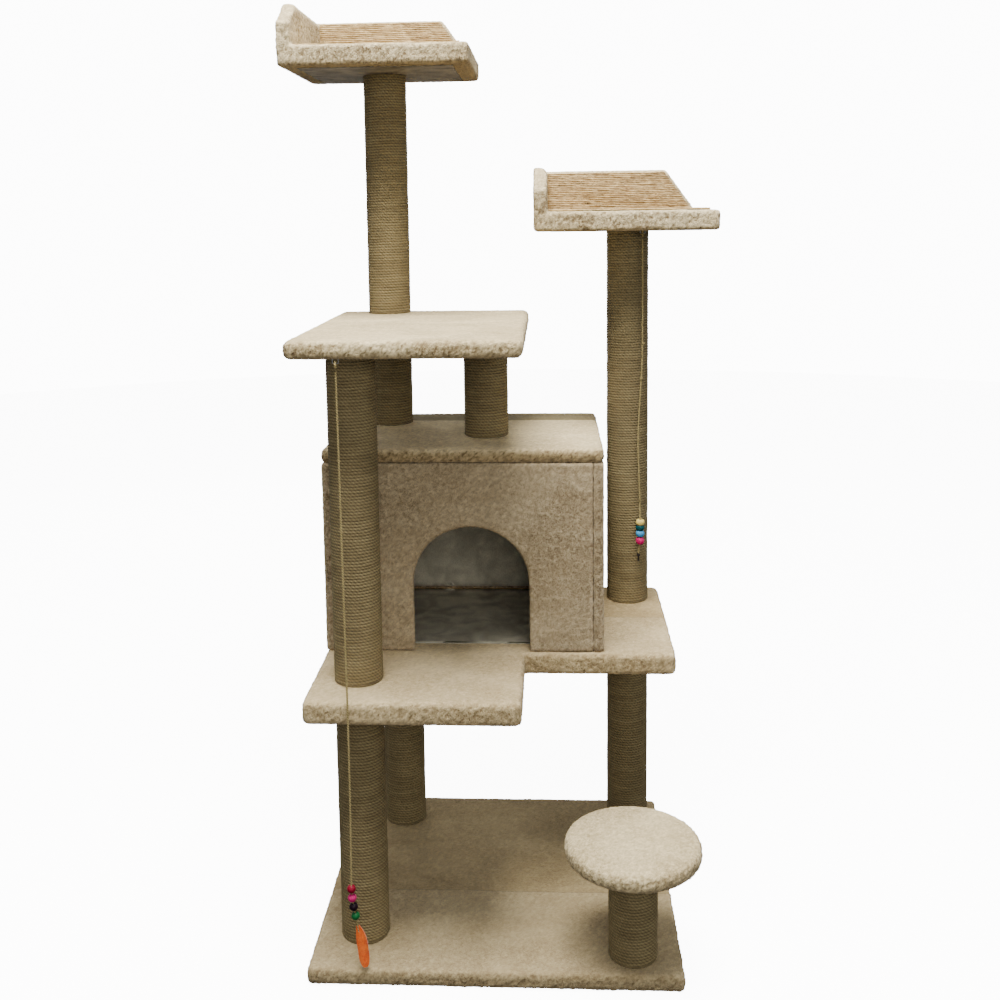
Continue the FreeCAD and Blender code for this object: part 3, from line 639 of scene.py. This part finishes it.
# ---- toys ------------------------------------------------------------------------------------
LEFT_ROUTE = [
    (-0.2270, -0.2735, 0.99575),
    (-0.2242, -0.2732, 0.560),
    (-0.2236, -0.2736, 0.330),
    (-0.2256, -0.2735, 0.190),
    (-0.2260, -0.2735, 0.166),
    (-0.2252, -0.2735, 0.151),
    (-0.2232, -0.2735, 0.136),
    (-0.2205, -0.2735, 0.1205),
    (-0.2176, -0.2735, 0.104),
    (-0.2163, -0.2735, 0.0935),
]
RIGHT_ROUTE = [
    (0.2677, 0.1770, 1.17575),
    (0.2690, 0.1768, 0.975),
    (0.2646, 0.1765, 0.893),
    (0.2592, 0.1770, 0.800),
    (0.2636, 0.1773, 0.700),
    (0.2646, 0.1770, 0.645),
    (0.2643, 0.1770, 0.603),
    (0.2614, 0.1770, 0.577),
]
LEFT_BEADS = [("red", 0.166), ("pink", 0.151), ("purple", 0.136), ("green", 0.1205)]
RIGHT_BEADS = [("cream", 0.6395, 0.005), ("teal", 0.6293, 0.005), ("blue", 0.6178, 0.0063),
               ("magenta", 0.6036, 0.0077)]
LEFT_BEAD_R = 7.0 * MM
RIGHT_BEAD_R = 8.3 * MM
FELT_W = 17.0 * MM
FELT_L = 70.0 * MM
FELT_T = 2.5 * MM
FELT_LEAN = math.radians(11.0)
FELT_NECK = 0.26              # the leaf's width at its neck, as a share of the widest
FELT_SHOULDER = 0.42          # shares of its length at which it is widest, and narrows again
FELT_TIP = 0.72
BORE_R = 2.2 * MM             # a bead's bore, with its rim
KNOT_HEIGHTS = [0.983, 0.916]
TAIL_L = 11.0 * MM


def hang_string(name, route):
    """Twine along a smooth line through the route."""
    line = bpy.data.curves.new(name, "CURVE")
    line.dimensions = "3D"
    line.resolution_u = 16
    line.bevel_depth = STRING_R
    line.bevel_resolution = 3
    line.use_fill_caps = True
    spline = line.splines.new("NURBS")
    spline.points.add(len(route) - 1)
    for point, place in zip(spline.points, route):
        point.co = (*place, 1.0)
    spline.order_u = 3
    spline.use_endpoint_u = True
    piece = bpy.data.objects.new(name, line)
    bpy.context.scene.collection.objects.link(piece)
    return piece


def route_at(route, z):
    """The point of the route at a height."""
    for a, b in zip(route, route[1:]):
        if b[2] <= z <= a[2]:
            return Vector(a).lerp(Vector(b), (a[2] - z) / (a[2] - b[2]))
    raise ValueError("the route does not pass that height")


def turned_bead(name, centre, radius, half_height):
    """A ball with its poles faced off, a sunk bore in each and a soft edge round it."""
    rest()
    bpy.ops.mesh.primitive_uv_sphere_add(segments=32, ring_count=20, radius=radius,
                                         location=centre)
    bead = settle(name)
    for side in (1.0, -1.0):
        slice_off(bead, centre + Vector((0, 0, side * half_height)), (0, 0, side),
                  use_fill=True, clear_outer=True)
        edit_faces(bead, lambda middle, normal: normal.z * side > 0.99
                   and abs(middle.z - centre.z - side * half_height) < NEAR)
        bpy.ops.mesh.inset(thickness=max(0.2 * MM, flat_radius(radius, half_height) - BORE_R))
        bpy.ops.mesh.inset(thickness=0.3 * MM, depth=-0.8 * MM)
        rest()
    modify(bead, "BEVEL", width=0.35 * MM, segments=2, limit_method="ANGLE", angle_limit=0.6)
    smooth(bead)
    return bead


def flat_radius(radius, half_height):
    """Radius of the flat that is left when a ball is faced off at a height."""
    return math.sqrt(max(radius ** 2 - half_height ** 2, (0.1 * MM) ** 2))


def overhand_knot(name, centre, radius, thread):
    """A small knot: three rings of the thread pulled round each other."""
    rings = []
    for turn in ((0.35, 0.0, 0.0), (1.35, 0.5, 0.6), (1.2, -0.7, 1.9)):
        rest()
        bpy.ops.mesh.primitive_torus_add(location=centre, rotation=turn, major_segments=20,
                                         minor_segments=10, major_radius=radius - thread,
                                         minor_radius=thread)
        rings.append(settle(name))
    knot = join(name, rings)
    ruffle(knot, "fine", 0.4 * MM)
    smooth(knot)
    return knot


def felt_leaf(top):
    """A narrow leaf of felt, cut by hand, with a slight curl to the front."""
    rest()
    bpy.ops.mesh.primitive_cube_add(size=1.0, location=(0.0, 0.0, -FELT_L / 2.0))
    bpy.context.object.scale = (FELT_W, FELT_T, FELT_L)
    leaf = settle("left_felt_leaf")
    divide(leaf, 23)
    for vertex in leaf.data.vertices:
        place = vertex.co
        down = -place.z / FELT_L
        swell = math.sin(min(1.0, down / FELT_SHOULDER) * math.pi / 2.0)
        narrow = math.sqrt(max(0.0, 1.0 - max(0.0, (down - FELT_TIP) / 0.30) ** 2))
        place.x *= (FELT_NECK + (1.0 - FELT_NECK) * swell) * narrow
        place.x += 1.2 * MM * math.sin(down * 5.0)
        thin = 0.72 + 0.28 * math.sin(min(1.0, down / 0.3) * math.pi / 2.0)
        place.y = place.y * thin - 2.4 * MM * down ** 2 + 0.9 * MM * math.sin(place.x / FELT_W * 5)
    tilt = Matrix.Translation(top) @ Matrix.Rotation(-FELT_LEAN, 4, "Y")
    leaf.data.transform(tilt)
    modify(leaf, "BEVEL", width=0.5 * MM, segments=2, limit_method="ANGLE", angle_limit=0.9)
    ruffle(leaf, "fine", 0.5 * MM)
    smooth(leaf)
    return leaf


def loose_tail(name, top, thread):
    """The frayed end below the last knot: three short tapered threads that part."""
    strands = []
    for lean in ((-1.9, 0.5), (0.3, -0.9), (1.7, 0.6)):
        rest()
        bpy.ops.mesh.primitive_cone_add(vertices=10, radius1=0.35 * thread, radius2=thread,
                                        depth=TAIL_L, location=(0.0, 0.0, -TAIL_L / 2.0))
        strand = settle(name)
        divide(strand, 4)
        for vertex in strand.data.vertices:
            down = -vertex.co.z / TAIL_L
            vertex.co.x += lean[0] * MM * down ** 1.5
            vertex.co.y += lean[1] * MM * down ** 1.5
        strand.data.transform(Matrix.Translation(top))
        strands.append(strand)
    tail = join(name, strands)
    smooth(tail)
    return tail


def make_left_toy():
    string = hang_string("left_string", LEFT_ROUTE)
    finish_piece(string, TWINE_FINISH, "left_string", "twine", "left_toy_string")
    for colour, z in LEFT_BEADS:
        bead = turned_bead("left_bead_" + colour, route_at(LEFT_ROUTE, z), LEFT_BEAD_R,
                           LEFT_BEAD_R - 0.5 * MM)
        finish_piece(bead, BEAD_FINISH[colour], "left_string", "bead_" + colour,
                     "left_toy_beads")
    leaf = felt_leaf(LEFT_ROUTE[-2])
    finish_piece(leaf, FELT_FINISH, "left_string", "felt_orange", "left_toy_felt")


def make_right_toy():
    string = hang_string("right_string", RIGHT_ROUTE)
    finish_piece(string, TWINE_FINISH, "right_string", "twine", "right_toy_string")
    for colour, z, half_height in RIGHT_BEADS:
        bead = turned_bead("right_bead_" + colour, route_at(RIGHT_ROUTE, z), RIGHT_BEAD_R,
                           half_height - 0.3 * MM)
        finish_piece(bead, BEAD_FINISH[colour], "right_string", "bead_" + colour,
                     "right_toy_beads")
    for place, z in zip(("upper", "lower"), KNOT_HEIGHTS):
        knot = overhand_knot("right_knot_" + place, route_at(RIGHT_ROUTE, z), 3.0 * MM,
                             1.3 * MM)
        finish_piece(knot, TWINE_FINISH, "right_string", "twine")
    end = Vector(RIGHT_ROUTE[-1]) - Vector((0, 0, 2.0 * MM))
    knot = overhand_knot("right_end_knot_rings", end, 3.6 * MM, 1.5 * MM)
    tail = loose_tail("right_end_knot_tail", end - Vector((0, 0, 2.0 * MM)), 1.1 * MM)
    knot = join("right_end_knot", [knot, tail])
    finish_piece(knot, THREAD_FINISH, "right_string", "dark_thread", "right_toy_end_knot")


# ---- carpeted pieces -------------------------------------------------------------------------
RIM_ROLL = 9.0 * MM
CORNER_R = 11.0 * MM
TUFT_DEPTH = 2.2 * MM
CURL_DEPTH = 3.6 * MM
HOLLOW_DEPTH = 1.4 * MM
STOOL_ROLL = 12.0 * MM
RIM_STEPS = 20.0              # levels that the rims' weights are rounded to


def weigh_rims(piece, flat_axis, flat_share, rim_share):
    """A vertex group that holds rim_share at the edges and flat_share on the broad faces."""
    lean = 1.0 - np.abs(vertex_values(piece, "normal")[:, flat_axis])
    weights = flat_share + (rim_share - flat_share) * np.clip((lean - 0.05) / 0.4, 0.0, 1.0)
    group = piece.vertex_groups.new(name="rim")
    levels = np.round(weights * RIM_STEPS).astype(int)
    for level in np.unique(levels):
        group.add(np.nonzero(levels == level)[0].tolist(), level / RIM_STEPS, "REPLACE")


def raise_pile(piece, flat_axis=2, flat_share=0.3, voxel=BROAD_VOXEL, rim_depth=1.0):
    """Turn a plain shape into carpet: even faces, soft rims, then hollows, tufts and curls.

    Three attributes are kept: pile, how far the tufts and curls stand out, in millimetres;
    rim_share, from 0 on the broad faces to 1 across the rims; under, from 0 up to 1 down.
    """
    modify(piece, "REMESH", mode="VOXEL", voxel_size=voxel)
    modify(piece, "SMOOTH", factor=0.5, iterations=2)
    ruffle(piece, "hollows", HOLLOW_DEPTH)
    weigh_rims(piece, flat_axis, flat_share, rim_depth)
    ground, way = vertex_values(piece, "co"), vertex_values(piece, "normal")
    ruffle(piece, "tufts", TUFT_DEPTH, 0.4, vertex_group="rim")
    ruffle(piece, "curls", CURL_DEPTH, 0.3, vertex_group="rim")
    rise = np.sum((vertex_values(piece, "co") - ground) * way, axis=1) / MM
    for name, values in (("pile", rise), ("rim_share", 1.0 - np.abs(way[:, flat_axis])),
                         ("under", 0.5 - way[:, 2] / 2.0)):
        layer = piece.data.attributes.new(name, "FLOAT", "POINT")
        layer.data.foreach_set("value", values)
    smooth(piece)
    return piece


def soft_slab(name, low, high, corner=CORNER_R, roll=RIM_ROLL):
    """A slab with round corners in plan and a rolled rim."""
    slab = block(name, low, high)
    bevel(slab, upright, corner, 4)
    top, bottom = high[2], low[2]
    bevel(slab, lambda a, b: abs(a.z - b.z) < SAME
          and min(abs(a.z - top), abs(a.z - bottom)) < SAME, roll, 3)
    return slab


def make_base():
    low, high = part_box("base_carpet")
    carpet = raise_pile(soft_slab("base_cover", low, high, 7.0 * MM, 7.0 * MM))
    board_low, board_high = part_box("base_board")
    carve(carpet, "DIFFERENCE",
          block("board_room", (board_low[0], board_low[1], low[2] - 0.01), board_high))
    finish_piece(carpet, BASE_FINISH, "tree", "plush_carpet", "base_carpet")


def make_middle_platform():
    """The L: its main part first, then the nose pulled out of its front."""
    low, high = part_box("middle_platform_carpet")
    slab = block("middle_platform_cover", (low[0], MID_SIDE_FRONT, low[2]), high)
    slice_off(slab, (MID_NOSE_RIGHT, 0.0, 0.0), (1.0, 0.0, 0.0))
    edit_faces(slab, lambda middle, normal: normal.y < -0.9 and middle.x < MID_NOSE_RIGHT)
    bpy.ops.mesh.extrude_region_move(
        TRANSFORM_OT_translate={"value": (0.0, low[1] - MID_SIDE_FRONT, 0.0)})
    rest()
    corners = [(low[0], low[1]), (MID_NOSE_RIGHT, low[1]), (high[0], MID_SIDE_FRONT),
               (high[0], high[1]), (low[0], high[1])]
    bevel(slab, lambda a, b: upright(a, b) and any(math.hypot(a.x - x, a.y - y) < NEAR
                                                   for x, y in corners), CORNER_R, 4)

    def on_outline(a, b):
        level = abs(a.z - b.z) < SAME
        inner = abs(a.x - MID_NOSE_RIGHT) < NEAR and abs(b.x - MID_NOSE_RIGHT) < NEAR
        return level and not (inner and max(a.y, b.y) > MID_SIDE_FRONT + NEAR)

    bevel(slab, on_outline, RIM_ROLL, 3)
    raise_pile(slab)
    finish_piece(slab, MID_FINISH, "tree", "plush_carpet", "middle_platform_carpet")


def make_upper_platform():
    low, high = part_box("upper_platform_carpet")
    carpet = raise_pile(soft_slab("upper_platform_cover", low, high, CORNER_R, 10.0 * MM), 2, 0.3,
                        FINE_VOXEL)
    finish_piece(carpet, CARPET_FINISH, "tree", "plush_carpet", "upper_platform_carpet")


def make_stool():
    """The round seat: a disc with a rolled rim and a low crown."""
    low, high = corners_of("stool_carpet")
    middle = (low + high) / 2.0
    radius = (high.x - low.x) / 2.0
    rest()
    bpy.ops.mesh.primitive_cylinder_add(vertices=64, radius=radius, depth=high.z - low.z,
                                        location=middle)
    seat = settle("stool_cover")
    edit_faces(seat, lambda centre, normal: normal.z > 0.99)
    for width, lift in ((14.0 * MM, 0.0), (22.0 * MM, 2.2 * MM), (26.0 * MM, 1.6 * MM),
                        (26.0 * MM, 0.7 * MM)):
        bpy.ops.mesh.inset(thickness=width, depth=lift)
    rest()

    def at_rim(point):
        return abs(math.hypot(point.x - middle.x, point.y - middle.y) - radius) < 1.0 * MM

    bevel(seat, lambda a, b: abs(a.z - b.z) < SAME and at_rim(a) and at_rim(b), STOOL_ROLL, 4)
    raise_pile(seat, 2, 0.35, FINE_VOXEL)
    finish_piece(seat, CARPET_FINISH, "tree", "plush_carpet", "stool_carpet")


# ---- house -----------------------------------------------------------------------------------
WALL_ROLL = 2.5 * MM
LINING_T = 1.6 * MM
LINING_GAP = 1.6 * MM         # from the walls' inner line to a side lining
LINING_TRIM = 1.5 * MM        # how far a lining stays off the floor and the roof
# where the grey cloth of painted shade on the house floor begins, behind the front wall
FLOOR_SHADE_CLOTH_IN = 20.0 * MM


def door_tool(y0, y1, radius, floor):
    """The doorway's shape: straight sides and a half round head."""
    spring = floor + DOOR_SPRING
    rest()
    bpy.ops.mesh.primitive_cylinder_add(vertices=72, radius=radius, depth=y1 - y0,
                                        location=(DOOR_X, (y0 + y1) / 2, spring),
                                        rotation=(math.pi / 2, 0.0, 0.0))
    head = settle("door_head")
    sides = block("door_sides", (DOOR_X - radius, y0, floor - 0.02), (DOOR_X + radius, y1, spring))
    carve(head, "UNION", sides)
    return head


def make_wall(side, flat_axis):
    node = "house_" + side + "_carpet"
    low, high = corners_of(node)
    panel = block("house_" + side + "_cover", low, high)
    if side == "front":
        carve(panel, "DIFFERENCE", door_tool(low.y - 0.01, high.y + 0.01, DOOR_R, low.z))
    modify(panel, "BEVEL", width=WALL_ROLL, segments=3, limit_method="ANGLE", angle_limit=0.9)
    raise_pile(panel, flat_axis, 0.5, FINE_VOXEL if side == "front" else BROAD_VOXEL, 0.65)
    finish_piece(panel, WALL_FINISH, "tree", "plush_carpet", node)


def lining_sheet(name, low, high, *nodes):
    """A thin felt sheet just proud of an inner face, with faint waves."""
    sheet = block(name, low, high)
    divide(sheet, 30)
    ruffle(sheet, "hollows", 0.7 * MM)
    smooth(sheet)
    finish_piece(sheet, FELT_LINING, "tree", "lining_cloth", *nodes)


def make_house():
    for side, flat_axis in (("front", 1), ("back", 1), ("left", 0), ("right", 0)):
        make_wall(side, flat_axis)
    low, high = corners_of("house_roof_carpet")
    roof = raise_pile(soft_slab("house_roof_cover", low, high, 8.0 * MM, 8.0 * MM))
    finish_piece(roof, ROOF_FINISH, "tree", "plush_carpet", "house_roof_carpet")
    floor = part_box("middle_platform_carpet")[1][2]
    x0, x1 = low.x + HOUSE_WALL, high.x - HOUSE_WALL
    y0, y1 = low.y + HOUSE_WALL, high.y - HOUSE_WALL
    z0, z1 = floor + LINING_TRIM, low.z - LINING_TRIM
    in_t = LINING_T + LINING_GAP
    lining_sheet("house_lining_back", (x0, y1 - 6.0 * MM, z0 + 5.0 * MM),
                 (x1, y1 - 4.4 * MM, z1), "house_back_carpet")
    # Painted shade: a grey felt cloth darkens the house floor from 20 mm behind the front wall,
    # where the floor lies in shade.
    lining_sheet("house_floor_shade_cloth", (x0 + in_t, y0 + FLOOR_SHADE_CLOTH_IN, floor - 0.6 * MM),
                 (x1 - in_t, y1 - 9.0 * MM, floor + 1.1 * MM))
    lining_sheet("house_lining_left", (x0 + LINING_GAP, y0, z0), (x0 + in_t, y1, z1),
                 "house_left_carpet")
    lining_sheet("house_lining_right", (x1 - in_t, y0, z0), (x1 - LINING_GAP, y1, z1),
                 "house_right_carpet")


# ---- perches ---------------------------------------------------------------------------------
WING_ROUND = 12.0 * MM        # a wing's inner top edge, and its other edges
WING_SOFT = 2.5 * MM
WING_FOOT = 14.0 * MM         # how deep a wing stands in the seat
YARN_PITCH = 3.6 * MM
YARN_CUTS = 24


def perch_wing(name, low, high, cut_point, cut_normal, axis, inner):
    """A raised wing: a slab with one end cut off on a slope and its inner top edge rounded."""
    slab = block(name, low, high)
    bevel(slab, lambda a, b: min(a.z, b.z) > high[2] - NEAR
          and max(abs(a[axis] - inner), abs(b[axis] - inner)) < NEAR, WING_ROUND, 4)
    slice_off(slab, cut_point, cut_normal, use_fill=True, clear_outer=True)
    modify(slab, "BEVEL", width=WING_SOFT, segments=2, limit_method="ANGLE", angle_limit=0.5)
    return slab


def yarn_rows(name, low, high, across):
    """Rows of yarn along X on a thin ground: one yarn is modelled, then repeated over the mat."""
    low, high = Vector(low), Vector(high)
    length = high.x - low.x
    rest()
    bpy.ops.mesh.primitive_cylinder_add(vertices=8, radius=MAT_T * 0.55, depth=length,
                                        rotation=(0.0, math.pi / 2, 0.0))
    yarn = settle(name)
    edit_all(yarn)
    for i in range(1, YARN_CUTS):
        bpy.ops.mesh.select_all(action="SELECT")
        bpy.ops.mesh.bisect(plane_co=(-length / 2 + length * i / YARN_CUTS, 0, 0),
                            plane_no=(1.0, 0.0, 0.0))
    rest()
    rows = int((high[across] - low[across]) / YARN_PITCH)
    step = [0.0, 0.0, 0.0]
    step[across] = (high[across] - low[across]) / rows
    start = (low + high) / 2.0
    start[across] = low[across] + step[across] / 2.0
    yarn.data.transform(Matrix.Translation(start))
    modify(yarn, "ARRAY", count=rows, use_relative_offset=False, use_constant_offset=True,
           constant_offset_displace=step)
    inset = [0.4 * MM, 0.4 * MM, 0.4 * MM]
    inset[3 - across] = 1.2 * MM
    ground = block(name + "_ground", low + Vector(inset), high - Vector(inset))
    mat = join(name, [yarn, ground])
    for kind, amount in (("uneven", 1.4 * MM), ("curls", 3.6 * MM), ("fine", 1.4 * MM)):
        ruffle(mat, kind, amount)
    smooth(mat)
    return mat


def make_perch(name):
    low, high = corners_of(name + "_carpet")
    seat_top = low.z + PERCH_T
    seat = soft_slab(name + "_seat", low, (high.x, high.y, seat_top), 8.0 * MM, 6.0 * MM)
    foot = seat_top - WING_FOOT
    side = perch_wing(name + "_side", (low.x, low.y, foot), (low.x + WING_T, high.y, high.z),
                      (low.x, low.y, high.z - SIDE_CUT_H), (0.0, -SIDE_CUT_H, SIDE_CUT), 0,
                      low.x + WING_T)
    free_end = high.x - BACK_END
    back = perch_wing(name + "_back", (low.x, high.y - WING_T, foot),
                      (free_end + BACK_CUT * 0.2, high.y, high.z),
                      (free_end, high.y, seat_top), (high.z - seat_top, 0.0, BACK_CUT), 1,
                      high.y - WING_T)
    cover = join(name + "_cover", [seat, side, back])
    raise_pile(cover, 2, 0.4, FINE_VOXEL)
    finish_piece(cover, PERCH_FINISH, "tree", "plush_carpet", name + "_carpet")

    mat_low, mat_high = corners_of(name + "_mat")
    seat_mat = yarn_rows(name + "_seat_mat", mat_low,
                         (mat_high.x, mat_high.y, mat_low.z + MAT_T), 1)
    lean = BACK_CUT / (high.z - seat_top)
    back_mat = yarn_rows(name + "_back_mat", (mat_low.x, mat_high.y - MAT_T, mat_low.z + MAT_T),
                         mat_high, 2)
    width = mat_high.x - mat_low.x
    for vertex in back_mat.data.vertices:
        reach = mat_high.x - lean * (vertex.co.z - seat_top) - 2.0 * MM
        vertex.co.x = mat_low.x + (vertex.co.x - mat_low.x) * (reach - mat_low.x) / width
    mat = join(name + "_woven_mat", [seat_mat, back_mat])
    finish_piece(mat, MAT_FINISH, "tree", "loop_mat", name + "_mat")

    cloth_low, cloth_high = corners_of(name + "_lining")
    cloth = block(name + "_under_cloth", cloth_low - Vector((0, 0, 0.8 * MM)),
                  (cloth_high.x, cloth_high.y, cloth_low.z + 1.0 * MM))
    divide(cloth, 60)
    ruffle(cloth, "uneven", 1.6 * MM)
    smooth(cloth)
    finish_piece(cloth, CLOTH_FINISH, "tree", "lining_cloth", name + "_lining")


# ---- posts -----------------------------------------------------------------------------------
ROPE_STEPS = 36
ROPE_SPREAD = 1.15        # pressed turns are taller than they are deep
ROPE_SIDES = 8


def wind_rope(node):
    """A post's winding: one turn of rope carried up the post, with a tucked turn at each end."""
    low, high = corners_of(node)
    middle = (low + high) / 2.0
    rope_r = ROPE_D / 2.0
    path_r = (high.x - low.x) / 2.0 - rope_r
    climb = high.z - low.z - ROPE_D
    turns = int(climb / ROPE_PITCH)
    pitch = climb / turns
    start = low.z + rope_r
    rest()
    bpy.ops.mesh.primitive_circle_add(vertices=ROPE_SIDES, radius=rope_r,
                                      location=(path_r, 0.0, start),
                                      rotation=(math.pi / 2, 0.0, 0.0))
    bpy.context.object.scale = (1.0, ROPE_SPREAD, 1.0)
    winding = settle(node.replace("_rope", "_winding"))
    modify(winding, "SCREW", axis="Z", angle=TURN, screw_offset=pitch, iterations=turns,
           steps=ROPE_STEPS, render_steps=ROPE_STEPS, use_smooth_shade=True)
    edit_all(winding)
    bpy.ops.mesh.fill_holes(sides=ROPE_SIDES)
    bpy.ops.mesh.normals_make_consistent(inside=False)
    rest()
    rings = []
    for z in (start, high.z - rope_r):
        rest()
        bpy.ops.mesh.primitive_torus_add(location=(0.0, 0.0, z), major_radius=path_r,
                                         minor_radius=rope_r, major_segments=ROPE_STEPS * 2,
                                         minor_segments=ROPE_SIDES)
        rings.append(settle("end_turn"))
    winding = join(winding.name, [winding] + rings)
    measure_rope(winding, path_r, start, pitch)
    winding.data.transform(Matrix.Translation((middle.x, middle.y, 0.0)))
    ruffle(winding, "uneven", 2.2 * MM, direction="Z")
    ruffle(winding, "uneven", 1.4 * MM)
    ruffle(winding, "fine", 0.7 * MM)
    smooth(winding)
    finish_piece(winding, ROPE_FINISH, "tree", "jute_rope", node)


def measure_rope(winding, path_r, start, pitch):
    """Write the UV map rope: metres run along the rope, and the share of the way round it."""
    mesh = winding.data
    x, y, z = vertex_values(winding, "co").T
    share = np.arctan2(y, x) / TURN % 1.0
    turn = np.round((z - start) / pitch - share)
    run = (turn + share) * TURN * path_r
    out = np.hypot(x, y) - path_r
    lift = z - start - (turn + share) * pitch
    side = np.arctan2(lift, out) / TURN
    uv = mesh.uv_layers.new(name="rope")
    corners = np.empty(len(mesh.loops), dtype=int)
    mesh.loops.foreach_get("vertex_index", corners)
    uv.data.foreach_set("uv", np.stack([run[corners], side[corners]], axis=1).ravel())
    mesh.uv_layers.active = uv


def make_posts():
    for node in sorted(frame["nodes"]):
        if node.endswith("_rope"):
            wind_rope(node)


# ---- studio ----------------------------------------------------------------------------------
ROOM_R = 7.0                  # metres from the tree to the end of the floor
KEY, FRONT_FILL, REAR_FILL = 272.0, 40.0, 34.0     # watts
WARM_WHITE = (1.0, 0.965, 0.9)
SKY = 0.52                    # strength of the even light from all round


def set_stage(name, finish, *unseen_by):
    """Name the new primitive, give it its finish, and hide it from some kinds of ray."""
    piece = settle(name)
    piece.data.materials.append(finish)
    for ray in unseen_by:
        setattr(piece, "visible_" + ray, False)


def make_studio():
    rest()
    bpy.ops.mesh.primitive_circle_add(vertices=96, radius=ROOM_R, fill_type="NGON",
                                      location=(0.0, 0.0, -0.001))
    set_stage("studio_floor", studio_floor(), "diffuse", "glossy")
    rest()
    bpy.ops.mesh.primitive_circle_add(vertices=48, radius=ROOM_R - 0.2, fill_type="NGON",
                                      location=(0.0, 0.0, -0.004))
    set_stage("grey_card", grey_card(), "camera")
    rest()
    bpy.ops.mesh.primitive_cylinder_add(vertices=96, radius=ROOM_R - 0.1, depth=7.0,
                                        end_fill_type="NOTHING", location=(0.0, 0.0, 3.4))
    set_stage("studio_paper", white_paper(), "diffuse", "glossy", "shadow")
    world = bpy.data.worlds.new("studio")
    bpy.context.scene.world = world
    world.use_nodes = True
    sky = world.node_tree.nodes["Background"]
    sky.inputs["Color"].default_value = shade("FFFFFF")
    sky.inputs["Strength"].default_value = SKY
    for name, place, size, power, aim in (
            ("key", (-0.1, -0.7, 3.6), 1.4, KEY, (0.0, 0.0, 0.6)),
            ("front_fill", (0.7, -3.4, 1.7), 1.6, FRONT_FILL, (0.0, 0.0, 0.7)),
            ("rear_fill", (-1.2, 3.2, 1.5), 1.6, REAR_FILL, (0.0, 0.0, 0.8))):
        lamp = bpy.data.lights.new(name, "AREA")
        lamp.size = size
        lamp.energy = power
        lamp.color = WARM_WHITE
        light = bpy.data.objects.new(name, lamp)
        bpy.context.scene.collection.objects.link(light)
        light.location = place
        way = Vector(aim) - Vector(place)
        light.rotation_euler = way.to_track_quat("-Z", "Y").to_euler()


dress_frame()
make_left_toy()
make_right_toy()
make_base()
make_middle_platform()
make_upper_platform()
make_stool()
make_house()
for perch in ("top_perch", "right_perch"):
    make_perch(perch)
make_posts()
make_studio()
